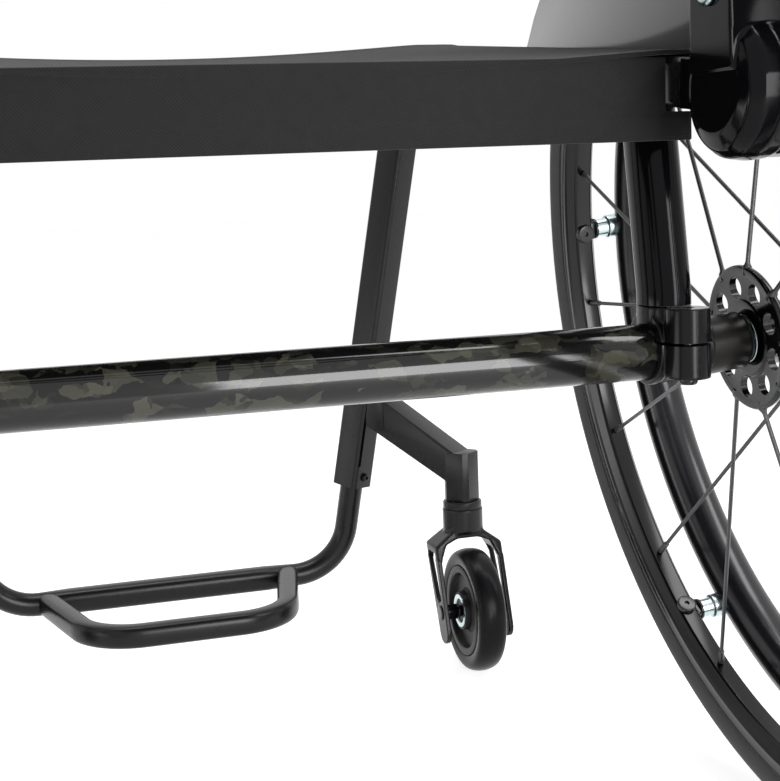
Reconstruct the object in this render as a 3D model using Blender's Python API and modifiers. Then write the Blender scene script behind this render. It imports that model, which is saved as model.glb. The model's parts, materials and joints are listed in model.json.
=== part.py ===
"""Active wheelchair with cambered quick-release wheels, as separate jointed sub-parts.

Metres, +Z up, floor at Z = 0. The chair faces -Y, and its own right side is at -X.
A "reach" is a distance ahead of the rear axle, so a point at reach r has y = AXLE_Y - r.
"""
import math

import bmesh
import bpy
from mathutils import Matrix, Vector

# Clearances, and the span of the tools that cut right through a piece
GAP = 0.0003
RUNNING_GAP = 0.0004
SIDE_GAP = 0.001
CUT_SPAN = 0.2

# Rear wheels
WHEEL_RADIUS = 0.305
WHEEL_OFFSET = 0.280
CAMBER = math.radians(6.3)
TYRE_SECTION = 0.0125
TYRE_HEIGHT = 0.0205
RIM_DEPTH = 0.0177
RIM_WIDTH = 0.021
RIM_BED_WIDTH = 0.011
RIM_WALL_DROP = 0.009
HANDRIM_DROP = 0.0189
HANDRIM_OFFSET = 0.0401
HANDRIM_SECTION = 0.0152
HANDRIM_TABS = 6
TAB_LENGTH = 0.012
TAB_THICKNESS = 0.008
TAB_START = math.radians(9.7)

# Rear hubs, spokes and axles
HUB_HALF_WIDTH = 0.0313
FLANGE_RADIUS = 0.0394
FLANGE_THICKNESS = 0.0045
HUB_BARREL_RADIUS = 0.0165
FLANGE_HOLES = 9
FLANGE_HOLE_RADIUS = 0.0052
FLANGE_HOLE_CIRCLE = 0.0275
SPOKE_COUNT = 18
SPOKE_RADIUS = 0.0012
SPOKE_SEAT_RADIUS = 0.0355
SPOKE_START = math.radians(19.0)
AXLE_PIN_RADIUS = 0.0062
AXLE_PIN_INSERT = 0.045
AXLE_HEAD_RADIUS = 0.0125
AXLE_HEAD_LENGTH = 0.006
BEARING_RADIUS = 0.0130
BEARING_WIDTH = 0.008
BUTTON_RADIUS = 0.0045
BUTTON_LENGTH = 0.010
BUTTON_TRAVEL = 0.003
BUTTON_PROUD = 0.004

# Axle tube, its clamps and camber plugs
AXLE_TUBE_RADIUS = 0.0148
AXLE_TUBE_WALL = 0.0025
AXIS_MEET = 0.220
CLAMP_INNER_X = 0.1905
CLAMP_WIDTH = 0.031
CLAMP_RADIUS = 0.0190
CLAMP_LIFT = 0.0022
CLAMP_SLIT = 0.0015
CLAMP_BOSS_LOW = 0.0155
CLAMP_BOSS_HIGH = 0.0245
BARREL_RADIUS = 0.0115
BARREL_X = 0.2035
BARREL_REACH = -0.0225
BARREL_HALF_HEIGHT = 0.0182
BARREL_LIFT = 0.006
CLAMP_BOLT_RADIUS = 0.0030
CLAMP_BOLT_HEAD_RADIUS = 0.0048
CLAMP_BOLT_HEAD_HEIGHT = 0.0030
PLUG_RADIUS = 0.0152
PLUG_INSERT = 0.030
PLUG_FACE_GAP = 0.0010
PLUG_OVERLAP = 0.003

# Side frames
RAIL_X = 0.2075
RAIL_REAR_REACH = -0.030
RAIL_REAR_Z = 0.4333
SEAT_ANGLE = math.radians(5.65)
FRAME_WIDTH = 0.0235
FRAME_DEPTH = 0.025
FRAME_CHAMFER = 0.0025
KNEE_REACH = 0.444
KNEE_RADIUS = 0.060
LEG_FOOT_X = 0.156
LEG_FOOT_REACH = 0.480
LEG_FOOT_Z = 0.139
LEG_TWIST = math.radians(24.0)
LEG_SLOT_WIDTH = 0.0024
LEG_SLOT_TURN = math.radians(33.0)
LEG_SLOT_LOW_Z = 0.157
LEG_SLOT_HIGH_Z = 0.204
STRUT_X = 0.2015
STRUT_WIDTH = 0.0265
STRUT_DEPTH = 0.035
STRUT_TOP_REACH = 0.018
STRUT_STRAIGHT = 0.006

# Footrest
FOOT_TUBE_RADIUS = 0.0093
FOOT_BAR_Z = 0.0646
FOOT_BEND_RADIUS = 0.045
FOOT_INSERT = 0.030
LOOP_TUBE_RADIUS = 0.0089
LOOP_FRONT_HALF = 0.099
LOOP_REAR_HALF = 0.072
LOOP_DEPTH = 0.1185
LOOP_CORNER_RADIUS = 0.045
FOOT_SCREW_RADIUS = 0.0035
FOOT_SCREW_LENGTH = 0.0025
FOOT_SCREW_Z = 0.148

# Casters
STEM_X = 0.2263
STEM_REACH = 0.402
CASTER_TRAIL = 0.020
CASTER_RADIUS = 0.0488
CASTER_WIDTH = 0.0224
CASTER_TYRE_HEIGHT = 0.0128
CASTER_TYRE_SHAPE = ((1.0, 0.85), (0.55, 1.0), (0.20, 0.85), (0.0, 0.42))
CORE_RIM_THICKNESS = 0.0055
CORE_RIM_HALF = 0.0105
CORE_WEB_HALF = 0.005
CORE_BOSS_RADIUS = 0.0130
CORE_BOSS_HALF = 0.0125
CASTER_BOLT_RADIUS = 0.0040
CASTER_SPACER_RADIUS = 0.0060
CASTER_BOLT_HEAD = 0.0060
CASTER_BOLT_HEAD_THICKNESS = 0.0008
COLUMN_SIDE = 0.0225
COLUMN_CHAMFER = 0.0035
COLUMN_BOTTOM_Z = 0.1345
COLUMN_TOP_Z = 0.1735
COLLAR_RADIUS = 0.0154
COLLAR_HEIGHT = 0.006
ARM_WIDTH = 0.022
ARM_LEG_HEIGHT = 0.032
ARM_START = 0.010
ARM_LEG_Z = 0.2075
ARM_COLUMN_HEIGHT = 0.0273
STEM_RADIUS = 0.0060
STEM_TOP_Z = 0.163
CROWN_RADIUS = 0.0161
CROWN_HEIGHT = 0.0185
FORK_HALF_WIDTH = 0.0278
FORK_BLADE = 0.0036
FORK_SHOULDER_Z = 0.100
FORK_ARCH_Z = 0.1050
FORK_ARCH_DROP = 0.017
FORK_ARCH_SHAPE = ((1.0, 1.0), (0.75, 0.235), (0.35, 0.0))
FORK_NECK_HALF = 0.011
FORK_NECK_RISE = 0.003
FORK_BLADE_WIDTH = 0.0270
FORK_SLOT_WIDTH = 0.0155
FORK_SLOT_END_WIDTH = 0.0105
FORK_SLOT_TIP = 0.003
FORK_SLOT_TOP_EDGE = 0.006
FORK_SLOT_LOW_EDGE = 0.005
FORK_TAIL = 0.015
FORK_TAIL_RADIUS = 0.0095

# Backrest
PIVOT_Z = 0.474
BRACKET_FOOT_Z = 0.428
BRACKET_FOOT_RADIUS = 0.033
BRACKET_FOOT_INNER_X = 0.203
BRACKET_FOOT_WIDTH = 0.030
BRACKET_HEAD_RADIUS = 0.019
BRACKET_HEAD_LOW_Z = 0.436
BRACKET_HALF_WIDTH = 0.0175
BRACKET_NECK = 0.008
POST_RADIUS = 0.0095
POST_LENGTH = 0.330
RECLINE = math.radians(7.0)
PIVOT_PIN_RADIUS = 0.0045
PIN_HEAD_RADIUS = 0.0085
PIN_HEAD_THICKNESS = 0.003
CROSSBAR_HEIGHT = 0.048
CROSSBAR_RADIUS = 0.0085
CROSSBAR_BOW = 0.035
CROSSBAR_SPANS = 5
CAP_LENGTH = 0.006
BACK_LOW = 0.066
BACK_HIGH = 0.322
BACK_THICKNESS = 0.009
BACK_FORWARD = 0.003

# Seat sling and side guards
SLING_THICKNESS = 0.003
SLING_REAR_REACH = -0.0195
SLING_FRONT_REACH = 0.385
FLAP_BOTTOM_Z = 0.4055
FLAP_REACH = -0.0175
FLAP_HALF_WIDTH = 0.209
GUARD_THICKNESS = 0.0025
GUARD_ARC_RADIUS = 0.283
GUARD_REAR_REACH = -0.022
GUARD_FRONT_REACH = 0.235
GUARD_BOLT_RADIUS = 0.0055
GUARD_BOLT_HEIGHT = 0.003
GUARD_BOLT_REACH = 0.030

# Facets: how finely round pieces are cut
RING_STEPS = 48
CASTER_STEPS = 26
HUB_STEPS = 24
TUBE_STEPS = 20
SMALL_STEPS = 12
ARC_STEPS = 8
SPOKE_SIDES = 5

# Shares of radius and height that round off a cap or a bolt head
DOME = ((0.0, 1.0), (0.7, 0.88), (1.0, 0.4), (1.0, 0.0), (0.0, 0.0))

# Sizes that follow from the ones above
WHEEL_Z = (WHEEL_RADIUS - TYRE_SECTION) * math.cos(CAMBER) + TYRE_SECTION
TUBE_Z = WHEEL_Z - (WHEEL_OFFSET - AXIS_MEET) * math.tan(CAMBER)
SEAT_SLOPE = math.tan(SEAT_ANGLE)
KNEE_Z = RAIL_REAR_Z + (KNEE_REACH - RAIL_REAR_REACH) * SEAT_SLOPE
LEG_LEAN_X = (RAIL_X - LEG_FOOT_X) / (KNEE_Z - LEG_FOOT_Z)
LEG_LEAN_REACH = (KNEE_REACH - LEG_FOOT_REACH) / (KNEE_Z - LEG_FOOT_Z)
FOOT_BAR_REACH = LEG_FOOT_REACH + (FOOT_BAR_Z - LEG_FOOT_Z) * LEG_LEAN_REACH
FRONT_REACH = FOOT_BAR_REACH + FOOT_TUBE_RADIUS
AXLE_Y = (FRONT_REACH - WHEEL_RADIUS) / 2
PIVOT_REACH = RAIL_REAR_REACH - GAP - BRACKET_NECK - BRACKET_FOOT_RADIUS
CLAMP_OUTER_X = CLAMP_INNER_X + CLAMP_WIDTH
AXLE_TUBE_BORE = AXLE_TUBE_RADIUS - AXLE_TUBE_WALL
TYRE_SEAT = WHEEL_RADIUS - TYRE_HEIGHT
RIM_OUTER = TYRE_SEAT - GAP
RIM_BED = RIM_OUTER - RIM_DEPTH
HANDRIM_RADIUS = RIM_OUTER - HANDRIM_DROP
BLADE_INNER = FORK_HALF_WIDTH - FORK_BLADE
COLLAR_BOTTOM_Z = COLUMN_BOTTOM_Z - GAP - COLLAR_HEIGHT
CROWN_TOP_Z = COLLAR_BOTTOM_Z - GAP
CROWN_BOTTOM_Z = CROWN_TOP_Z - CROWN_HEIGHT
FOOT_BORE_RADIUS = FOOT_TUBE_RADIUS + RUNNING_GAP
FOOT_TOP_Z = LEG_FOOT_Z + FOOT_INSERT

SIDES = {"right": -1, "left": 1}


def rail_z(reach):
    """Height of the seat rail's centre line at a reach."""
    return RAIL_REAR_Z + (reach - RAIL_REAR_REACH) * SEAT_SLOPE


def leg_place(sign, z):
    """The point of a front leg's centre line at a height."""
    rise = z - LEG_FOOT_Z
    return at(sign * (LEG_FOOT_X + rise * LEG_LEAN_X), LEG_FOOT_REACH + rise * LEG_LEAN_REACH, z)


def at(x, reach, z):
    """A point from its sideways place, its reach ahead of the axle and its height."""
    return Vector((x, AXLE_Y - reach, z))


# Start from an empty scene
for old in list(bpy.data.objects):
    bpy.data.objects.remove(old, do_unlink=True)

parts = bpy.data.collections.new("active_wheelchair")
cutters = bpy.data.collections.new("cutters")
for collection in (parts, cutters):
    bpy.context.scene.collection.children.link(collection)


def make_material(name, colour, roughness, metallic):
    material = bpy.data.materials.new(name)
    material.use_nodes = True
    shader = material.node_tree.nodes["Principled BSDF"]
    shader.inputs["Base Color"].default_value = (*colour, 1)
    shader.inputs["Roughness"].default_value = roughness
    shader.inputs["Metallic"].default_value = metallic
    return material


MATERIALS = {
    name: make_material(name, colour, roughness, metallic)
    for name, colour, roughness, metallic in (
        ("forged_carbon", (0.045, 0.045, 0.038), 0.12, 0.0),
        ("gloss_frame", (0.025, 0.025, 0.028), 0.18, 0.3),
        ("satin_frame", (0.035, 0.035, 0.037), 0.38, 0.3),
        ("grey_barrel", (0.20, 0.20, 0.205), 0.35, 0.8),
        ("black_anodised", (0.02, 0.02, 0.022), 0.25, 0.6),
        ("handrim_black", (0.02, 0.02, 0.023), 0.15, 0.0),
        ("rim_black", (0.03, 0.03, 0.033), 0.30, 0.6),
        ("tyre_rubber", (0.045, 0.045, 0.047), 0.75, 0.0),
        ("caster_rubber", (0.05, 0.05, 0.052), 0.60, 0.0),
        ("steel", (0.55, 0.55, 0.55), 0.25, 1.0),
        ("black_plastic", (0.025, 0.025, 0.025), 0.45, 0.0),
        ("seat_fabric", (0.035, 0.035, 0.036), 0.85, 0.0),
        ("guard_panel", (0.03, 0.03, 0.032), 0.35, 0.0),
    )
}


def move_to(obj, collection):
    for owner in list(obj.users_collection):
        owner.objects.unlink(obj)
    collection.objects.link(obj)


def finish(obj, name, material, parent=None, smooth=True):
    """Name a sub-part, give it its material and parent, and file it with the parts."""
    obj.name = name
    obj.data.name = name
    obj.data.materials.clear()
    obj.data.materials.append(MATERIALS[material])
    move_to(obj, parts)
    if parent is not None:
        obj.parent = parent
    if smooth and obj.type == "MESH":
        obj.data.shade_smooth()
        obj.data.set_sharp_from_angle(angle=math.radians(35))
    return obj


def as_cutter(obj, parent=None):
    """Keep an object only as the operand of a Boolean."""
    move_to(obj, cutters)
    obj.hide_render = True
    obj.display_type = "WIRE"
    if parent is not None:
        obj.parent = parent
    return obj


def combine(obj, operand, operation):
    modifier = obj.modifiers.new(operation.lower(), "BOOLEAN")
    modifier.operation = operation
    modifier.solver = "EXACT"
    modifier.object = operand
    return obj


def cut(obj, operand):
    return combine(obj, operand, "DIFFERENCE")


def join(obj, operand):
    return combine(obj, operand, "UNION")


def empty(name, location, rotation=(0, 0, 0)):
    axis = bpy.data.objects.new(name, None)
    axis.location = location
    axis.rotation_euler = rotation
    axis.empty_display_size = 0.03
    bpy.context.scene.collection.objects.link(axis)
    return axis


def turned(profile, steps, closed=False):
    """A turned shape about its own Z: profile points are (radius, height), outer side downwards."""
    mesh = bpy.data.meshes.new("profile")
    count = len(profile)
    edges = [(i, i + 1) for i in range(count - 1)]
    if closed:
        edges.append((count - 1, 0))
    mesh.from_pydata([(radius, 0, height) for radius, height in profile], edges, [])
    obj = bpy.data.objects.new("turned", mesh)
    bpy.context.scene.collection.objects.link(obj)
    screw = obj.modifiers.new("turn", "SCREW")
    screw.axis = "Z"
    screw.angle = math.tau
    screw.steps = steps
    screw.render_steps = steps
    screw.use_merge_vertices = True
    screw.merge_threshold = 0.0001
    screw.use_smooth_shade = True
    return obj


def cylinder(radius, low, high, steps=SMALL_STEPS):
    """A cylinder about its own Z from one height to another."""
    bpy.ops.mesh.primitive_cylinder_add(vertices=steps, radius=radius, depth=high - low)
    obj = bpy.context.object
    obj.data.transform(Matrix.Translation((0, 0, (low + high) / 2)))
    return obj


def domed(radius, low, height, steps=SMALL_STEPS):
    """A flat-bottomed round head about its own Z, rounded off at the top."""
    return turned([(radius * width, low + height * rise) for width, rise in DOME], steps)


def box(size, location=(0, 0, 0)):
    bpy.ops.mesh.primitive_cube_add(size=1)
    obj = bpy.context.object
    obj.data.transform(Matrix.Diagonal((*size, 1)))
    obj.data.transform(Matrix.Translation(location))
    return obj


def arc(centre, radius, start, stop, steps=ARC_STEPS):
    """Points on an arc, from one angle to another, both ends included."""
    cx, cy = centre
    return [
        (
            cx + radius * math.cos(start + (stop - start) * i / steps),
            cy + radius * math.sin(start + (stop - start) * i / steps),
        )
        for i in range(steps + 1)
    ]


def rounded_path(corners, radii, steps=ARC_STEPS):
    """A path through corner points whose inner corners are arcs of the given radii."""
    path = [Vector(corners[0])]
    for i, radius in enumerate(radii, start=1):
        here = Vector(corners[i])
        back = (Vector(corners[i - 1]) - here).normalized()
        onward = (Vector(corners[i + 1]) - here).normalized()
        half = back.angle(onward) / 2
        centre = here + (back + onward).normalized() * radius / math.sin(half)
        start = here + back * radius / math.tan(half) - centre
        stop = here + onward * radius / math.tan(half) - centre
        turn = start.angle(stop)
        for k in range(steps + 1):
            t = k / steps
            spoke = (math.sin((1 - t) * turn) * start + math.sin(t * turn) * stop) / math.sin(turn)
            path.append(centre + spoke)
    path.append(Vector(corners[-1]))
    return path


def path_curve(points, closed=False):
    curve = bpy.data.curves.new("path", "CURVE")
    curve.dimensions = "3D"
    curve.twist_mode = "MINIMUM"
    curve.resolution_u = 1
    spline = curve.splines.new("POLY")
    spline.points.add(len(points) - 1)
    for point, place in zip(spline.points, points):
        point.co = (*place, 1)
    spline.use_cyclic_u = closed
    obj = bpy.data.objects.new("path", curve)
    bpy.context.scene.collection.objects.link(obj)
    return obj


def as_mesh(obj):
    """Turn a finished curve object into a welded mesh object in the same place."""
    bpy.context.view_layer.update()
    graph = bpy.context.evaluated_depsgraph_get()
    mesh = bpy.data.meshes.new_from_object(obj.evaluated_get(graph))
    welded = bmesh.new()
    welded.from_mesh(mesh)
    bmesh.ops.remove_doubles(welded, verts=welded.verts, dist=0.00001)
    bmesh.ops.recalc_face_normals(welded, faces=welded.faces)
    welded.to_mesh(mesh)
    welded.free()
    solid = bpy.data.objects.new("solid", mesh)
    solid.matrix_world = obj.matrix_world
    bpy.context.scene.collection.objects.link(solid)
    bpy.data.objects.remove(obj, do_unlink=True)
    return solid


def outline(points, thickness):
    """A plate of the given thickness about the XY plane, from its flat outline."""
    obj = path_curve([(x, y, 0) for x, y in points], closed=True)
    obj.data.dimensions = "2D"
    obj.data.fill_mode = "BOTH"
    obj.data.extrude = thickness / 2
    return as_mesh(obj)


def side_plate(points, x, thickness):
    """A plate whose outline is given as (reach, height), standing at a sideways place x."""
    plate = outline(points, thickness)
    plate.data.transform(Matrix(((0, 0, -1, x), (-1, 0, 0, AXLE_Y), (0, 1, 0, 0), (0, 0, 0, 1))))
    return plate


def tube(points, radius, resolution=3):
    """A round solid tube along a path."""
    obj = path_curve(points)
    obj.data.bevel_depth = radius
    obj.data.bevel_resolution = resolution
    obj.data.use_fill_caps = True
    return as_mesh(obj)


def section_curve(points):
    """A closed flat outline used as the section of a swept tube."""
    obj = path_curve([(x, y, 0) for x, y in points], closed=True)
    obj.data.dimensions = "2D"
    obj.data.fill_mode = "NONE"
    return as_cutter(obj)


def swept(points, section, tilts=None):
    """A solid tube of any section along a path, turned about the path by the tilts."""
    obj = path_curve(points)
    obj.data.bevel_mode = "OBJECT"
    obj.data.bevel_object = section
    obj.data.use_fill_caps = True
    if tilts is not None:
        for point, tilt in zip(obj.data.splines[0].points, tilts):
            point.tilt = tilt
    return as_mesh(obj)


def chamfered(width, depth, chamfer):
    """The outline of a rectangle with cut corners."""
    a = width / 2
    b = depth / 2
    near = a - chamfer
    far = b - chamfer
    return [(a, -far), (a, far), (near, b), (-near, b), (-a, far), (-a, -far), (-near, -b), (near, -b)]


def ellipse(width, depth, steps):
    return [
        (width / 2 * math.cos(math.tau * i / steps), depth / 2 * math.sin(math.tau * i / steps))
        for i in range(steps)
    ]


# Axle tube across the chair
def make_axle_tube():
    half = CLAMP_OUTER_X - GAP
    wall = [
        (AXLE_TUBE_RADIUS, half),
        (AXLE_TUBE_RADIUS, -half),
        (AXLE_TUBE_BORE, -half),
        (AXLE_TUBE_BORE, half),
    ]
    obj = turned(wall, TUBE_STEPS, closed=True)
    obj.location = (0, AXLE_Y, TUBE_Z)
    obj.rotation_euler = (0, math.pi / 2, 0)
    finish(obj, "axle_tube", "forged_carbon")


# Split clamp at the end of the axle tube, with a boss for the strut and a barrel for its bolt
def make_axle_clamp(side, sign):
    bore = AXLE_TUBE_RADIUS + GAP
    body = cylinder(CLAMP_RADIUS, CLAMP_INNER_X, CLAMP_OUTER_X, TUBE_STEPS)
    body.location = (0, AXLE_Y, TUBE_Z + CLAMP_LIFT)
    body.rotation_euler = (0, sign * math.pi / 2, 0)

    boss_ends = [at(sign * STRUT_X, 0, TUBE_Z + rise) for rise in (CLAMP_BOSS_LOW, CLAMP_BOSS_HIGH)]
    boss = swept(boss_ends, STRUT_SECTION)
    room = cylinder(bore, CLAMP_INNER_X - SIDE_GAP, CLAMP_OUTER_X + SIDE_GAP, TUBE_STEPS)
    room.location = (0, AXLE_Y, TUBE_Z)
    room.rotation_euler = (0, sign * math.pi / 2, 0)

    barrel = cylinder(BARREL_RADIUS, -BARREL_HALF_HEIGHT, BARREL_HALF_HEIGHT, TUBE_STEPS)
    barrel.location = at(sign * BARREL_X, BARREL_REACH, TUBE_Z + BARREL_LIFT)
    screw_way = cylinder(CLAMP_BOLT_RADIUS + GAP, -CUT_SPAN / 2, CUT_SPAN / 2)
    screw_way.location = barrel.location
    slit = box(
        (CLAMP_WIDTH + 2 * SIDE_GAP, CUT_SPAN, CLAMP_SLIT),
        (sign * (CLAMP_INNER_X + CLAMP_OUTER_X) / 2, AXLE_Y + CUT_SPAN / 2, TUBE_Z + BARREL_LIFT),
    )
    join(body, as_cutter(boss))
    join(body, as_cutter(barrel))
    cut(body, as_cutter(room))
    cut(body, as_cutter(screw_way))
    cut(body, as_cutter(slit))
    finish(body, f"axle_clamp_{side}", "satin_frame")

    head_top = -BARREL_HALF_HEIGHT - GAP
    bolt = turned(
        [
            (0, BARREL_HALF_HEIGHT),
            (CLAMP_BOLT_RADIUS, BARREL_HALF_HEIGHT),
            (CLAMP_BOLT_RADIUS, head_top),
            (CLAMP_BOLT_HEAD_RADIUS, head_top),
            (CLAMP_BOLT_HEAD_RADIUS, head_top - CLAMP_BOLT_HEAD_HEIGHT),
            (0, head_top - CLAMP_BOLT_HEAD_HEIGHT),
        ],
        SMALL_STEPS,
    )
    bolt.location = barrel.location
    finish(bolt, f"clamp_bolt_{side}", "steel")


# Camber plug: a sleeve inside the axle tube and a barrel that takes the axle at the camber angle
def make_camber_plug(side, sign, wheel_axis):
    reach_in = (WHEEL_OFFSET - CLAMP_OUTER_X) / math.cos(CAMBER) - GAP
    outer_face = -HUB_HALF_WIDTH - PLUG_FACE_GAP
    barrel = cylinder(PLUG_RADIUS, -reach_in - SIDE_GAP, outer_face, TUBE_STEPS)
    barrel.parent = wheel_axis
    trim = box((CUT_SPAN,) * 3, (sign * (CLAMP_OUTER_X + GAP - CUT_SPAN / 2), AXLE_Y, TUBE_Z))
    sleeve_low = CLAMP_OUTER_X - PLUG_INSERT
    sleeve = cylinder(AXLE_TUBE_BORE - GAP, sleeve_low, CLAMP_OUTER_X + PLUG_OVERLAP, TUBE_STEPS)
    sleeve.location = (0, AXLE_Y, TUBE_Z)
    sleeve.rotation_euler = (0, sign * math.pi / 2, 0)
    way = cylinder(AXLE_PIN_RADIUS + GAP, -CUT_SPAN, CUT_SPAN)
    way.parent = wheel_axis
    cut(barrel, as_cutter(trim))
    join(barrel, as_cutter(sleeve))
    cut(barrel, as_cutter(way))
    finish(barrel, f"camber_plug_{side}", "grey_barrel", parent=wheel_axis)


# Side frame: seat rail, knee and front leg in one bent tube, bored and slotted for the footrest
def side_frame_path(sign):
    corners = [
        at(sign * RAIL_X, RAIL_REAR_REACH, rail_z(RAIL_REAR_REACH)),
        at(sign * RAIL_X, KNEE_REACH, KNEE_Z),
        leg_place(sign, LEG_FOOT_Z),
    ]
    return rounded_path(corners, [KNEE_RADIUS])


def frame_tilts(points, sign):
    """No turn along the rail, and the full leg twist once the tube has come round the knee."""
    bend = len(points) - 3
    return [sign * LEG_TWIST * min(max(i - 1, 0), bend) / bend for i in range(len(points))]


def along_leg(obj, sign, z):
    """Stand an object on a leg's centre line at a height, its own +Y out of the leg's rear face."""
    rail = Vector((0, -math.cos(SEAT_ANGLE), math.sin(SEAT_ANGLE)))
    under_rail = Vector((0, -math.sin(SEAT_ANGLE), -math.cos(SEAT_ANGLE)))
    down = (leg_place(sign, z) - leg_place(sign, z + 1)).normalized()
    rear = rail.rotation_difference(down) @ under_rail
    rear.rotate(Matrix.Rotation(sign * LEG_TWIST, 3, down))
    obj.location = leg_place(sign, z)
    obj.rotation_euler = Matrix((down.cross(rear), rear, -down)).transposed().to_euler()
    return obj


def make_side_frame(side, sign):
    path = side_frame_path(sign)
    frame = swept(path, FRAME_SECTION, frame_tilts(path, sign))
    depth = FOOT_TOP_Z + SIDE_GAP - LEG_FOOT_Z
    way = along_leg(cylinder(FOOT_BORE_RADIUS, -FRAME_WIDTH, depth, TUBE_STEPS), sign, LEG_FOOT_Z)
    slot_height = LEG_SLOT_HIGH_Z - LEG_SLOT_LOW_Z
    slot_middle = (FRAME_DEPTH + FOOT_BORE_RADIUS) / 2
    slot = box((LEG_SLOT_WIDTH, FRAME_DEPTH, slot_height), (0, slot_middle, 0))
    slot.data.transform(Matrix.Rotation(sign * LEG_SLOT_TURN, 4, "Z"))
    along_leg(slot, sign, (LEG_SLOT_HIGH_Z + LEG_SLOT_LOW_Z) / 2)
    cut(frame, as_cutter(way))
    cut(frame, as_cutter(slot))
    finish(frame, f"side_frame_{side}", "satin_frame")


# Rear strut: an oval tube from the clamp's boss to the underside of the seat rail
def make_rear_strut(side, sign):
    foot = TUBE_Z + CLAMP_BOSS_HIGH + GAP
    under_rail = rail_z(STRUT_TOP_REACH) - FRAME_DEPTH / 2 / math.cos(SEAT_ANGLE) - GAP
    path = [
        at(sign * STRUT_X, 0, foot),
        at(sign * STRUT_X, 0, foot + STRUT_STRAIGHT),
        at(sign * STRUT_X, STRUT_TOP_REACH, rail_z(STRUT_TOP_REACH)),
    ]
    strut = swept(path, STRUT_SECTION)
    trim = box((CUT_SPAN,) * 3, (0, 0, CUT_SPAN / 2))
    trim.location = at(sign * STRUT_X, STRUT_TOP_REACH, under_rail)
    trim.rotation_euler = (-SEAT_ANGLE, 0, 0)
    cut(strut, as_cutter(trim))
    finish(strut, f"rear_strut_{side}", "gloss_frame")


# Caster arm: a tapered box from the leg to a square housing for the caster stem
def make_caster_arm(side, sign):
    leg_point = leg_place(sign, ARM_LEG_Z)
    column_point = at(sign * STEM_X, STEM_REACH, COLUMN_TOP_Z - ARM_COLUMN_HEIGHT / 2)
    along = column_point - leg_point
    heading = math.atan2(along.y, along.x)
    length = math.hypot(along.x, along.y)

    arm = box((length - ARM_START, ARM_WIDTH, 1), ((length + ARM_START) / 2, 0, 0))
    for vertex in arm.data.vertices:
        at_column = vertex.co.x > length / 2
        height = ARM_COLUMN_HEIGHT if at_column else ARM_LEG_HEIGHT
        middle = along.z if at_column else 0
        vertex.co.z = middle + math.copysign(height / 2, vertex.co.z)
    arm.location = leg_point
    arm.rotation_euler = (0, 0, heading)

    column = outline(chamfered(COLUMN_SIDE, COLUMN_SIDE, COLUMN_CHAMFER), COLUMN_TOP_Z - COLUMN_BOTTOM_Z)
    column.location = at(sign * STEM_X, STEM_REACH, (COLUMN_TOP_Z + COLUMN_BOTTOM_Z) / 2)
    column.rotation_euler = (0, 0, heading)
    stem_way = cylinder(STEM_RADIUS + RUNNING_GAP, COLUMN_BOTTOM_Z - COLLAR_HEIGHT, STEM_TOP_Z + SIDE_GAP)
    stem_way.location = at(sign * STEM_X, STEM_REACH, 0)

    path = side_frame_path(sign)
    leg_room = swept(path, FRAME_ROOM_SECTION, frame_tilts(path, sign))
    join(column, as_cutter(arm))
    cut(column, as_cutter(leg_room))
    cut(column, as_cutter(stem_way))
    finish(column, f"caster_arm_{side}", "satin_frame")

    collar = turned(
        [
            (COLLAR_RADIUS, COLLAR_HEIGHT),
            (COLLAR_RADIUS, 0),
            (STEM_RADIUS + RUNNING_GAP, 0),
            (STEM_RADIUS + RUNNING_GAP, COLLAR_HEIGHT),
        ],
        TUBE_STEPS,
        closed=True,
    )
    collar.location = at(sign * STEM_X, STEM_REACH, COLLAR_BOTTOM_Z)
    finish(collar, f"stem_bearing_{side}", "satin_frame")


# Caster fork: a yoke that is the meeting of a front outline and a side outline, with its stem
def fork_outline(points, seen_from_side):
    """A thick plate in the fork's own frame from (sideways or ahead, height) points."""
    plate = outline(points, CUT_SPAN)
    plate.data.transform(Matrix.Rotation(math.pi / 2, 4, "X"))
    if seen_from_side:
        plate.data.transform(Matrix.Rotation(-math.pi / 2, 4, "Z"))
    return plate


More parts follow.
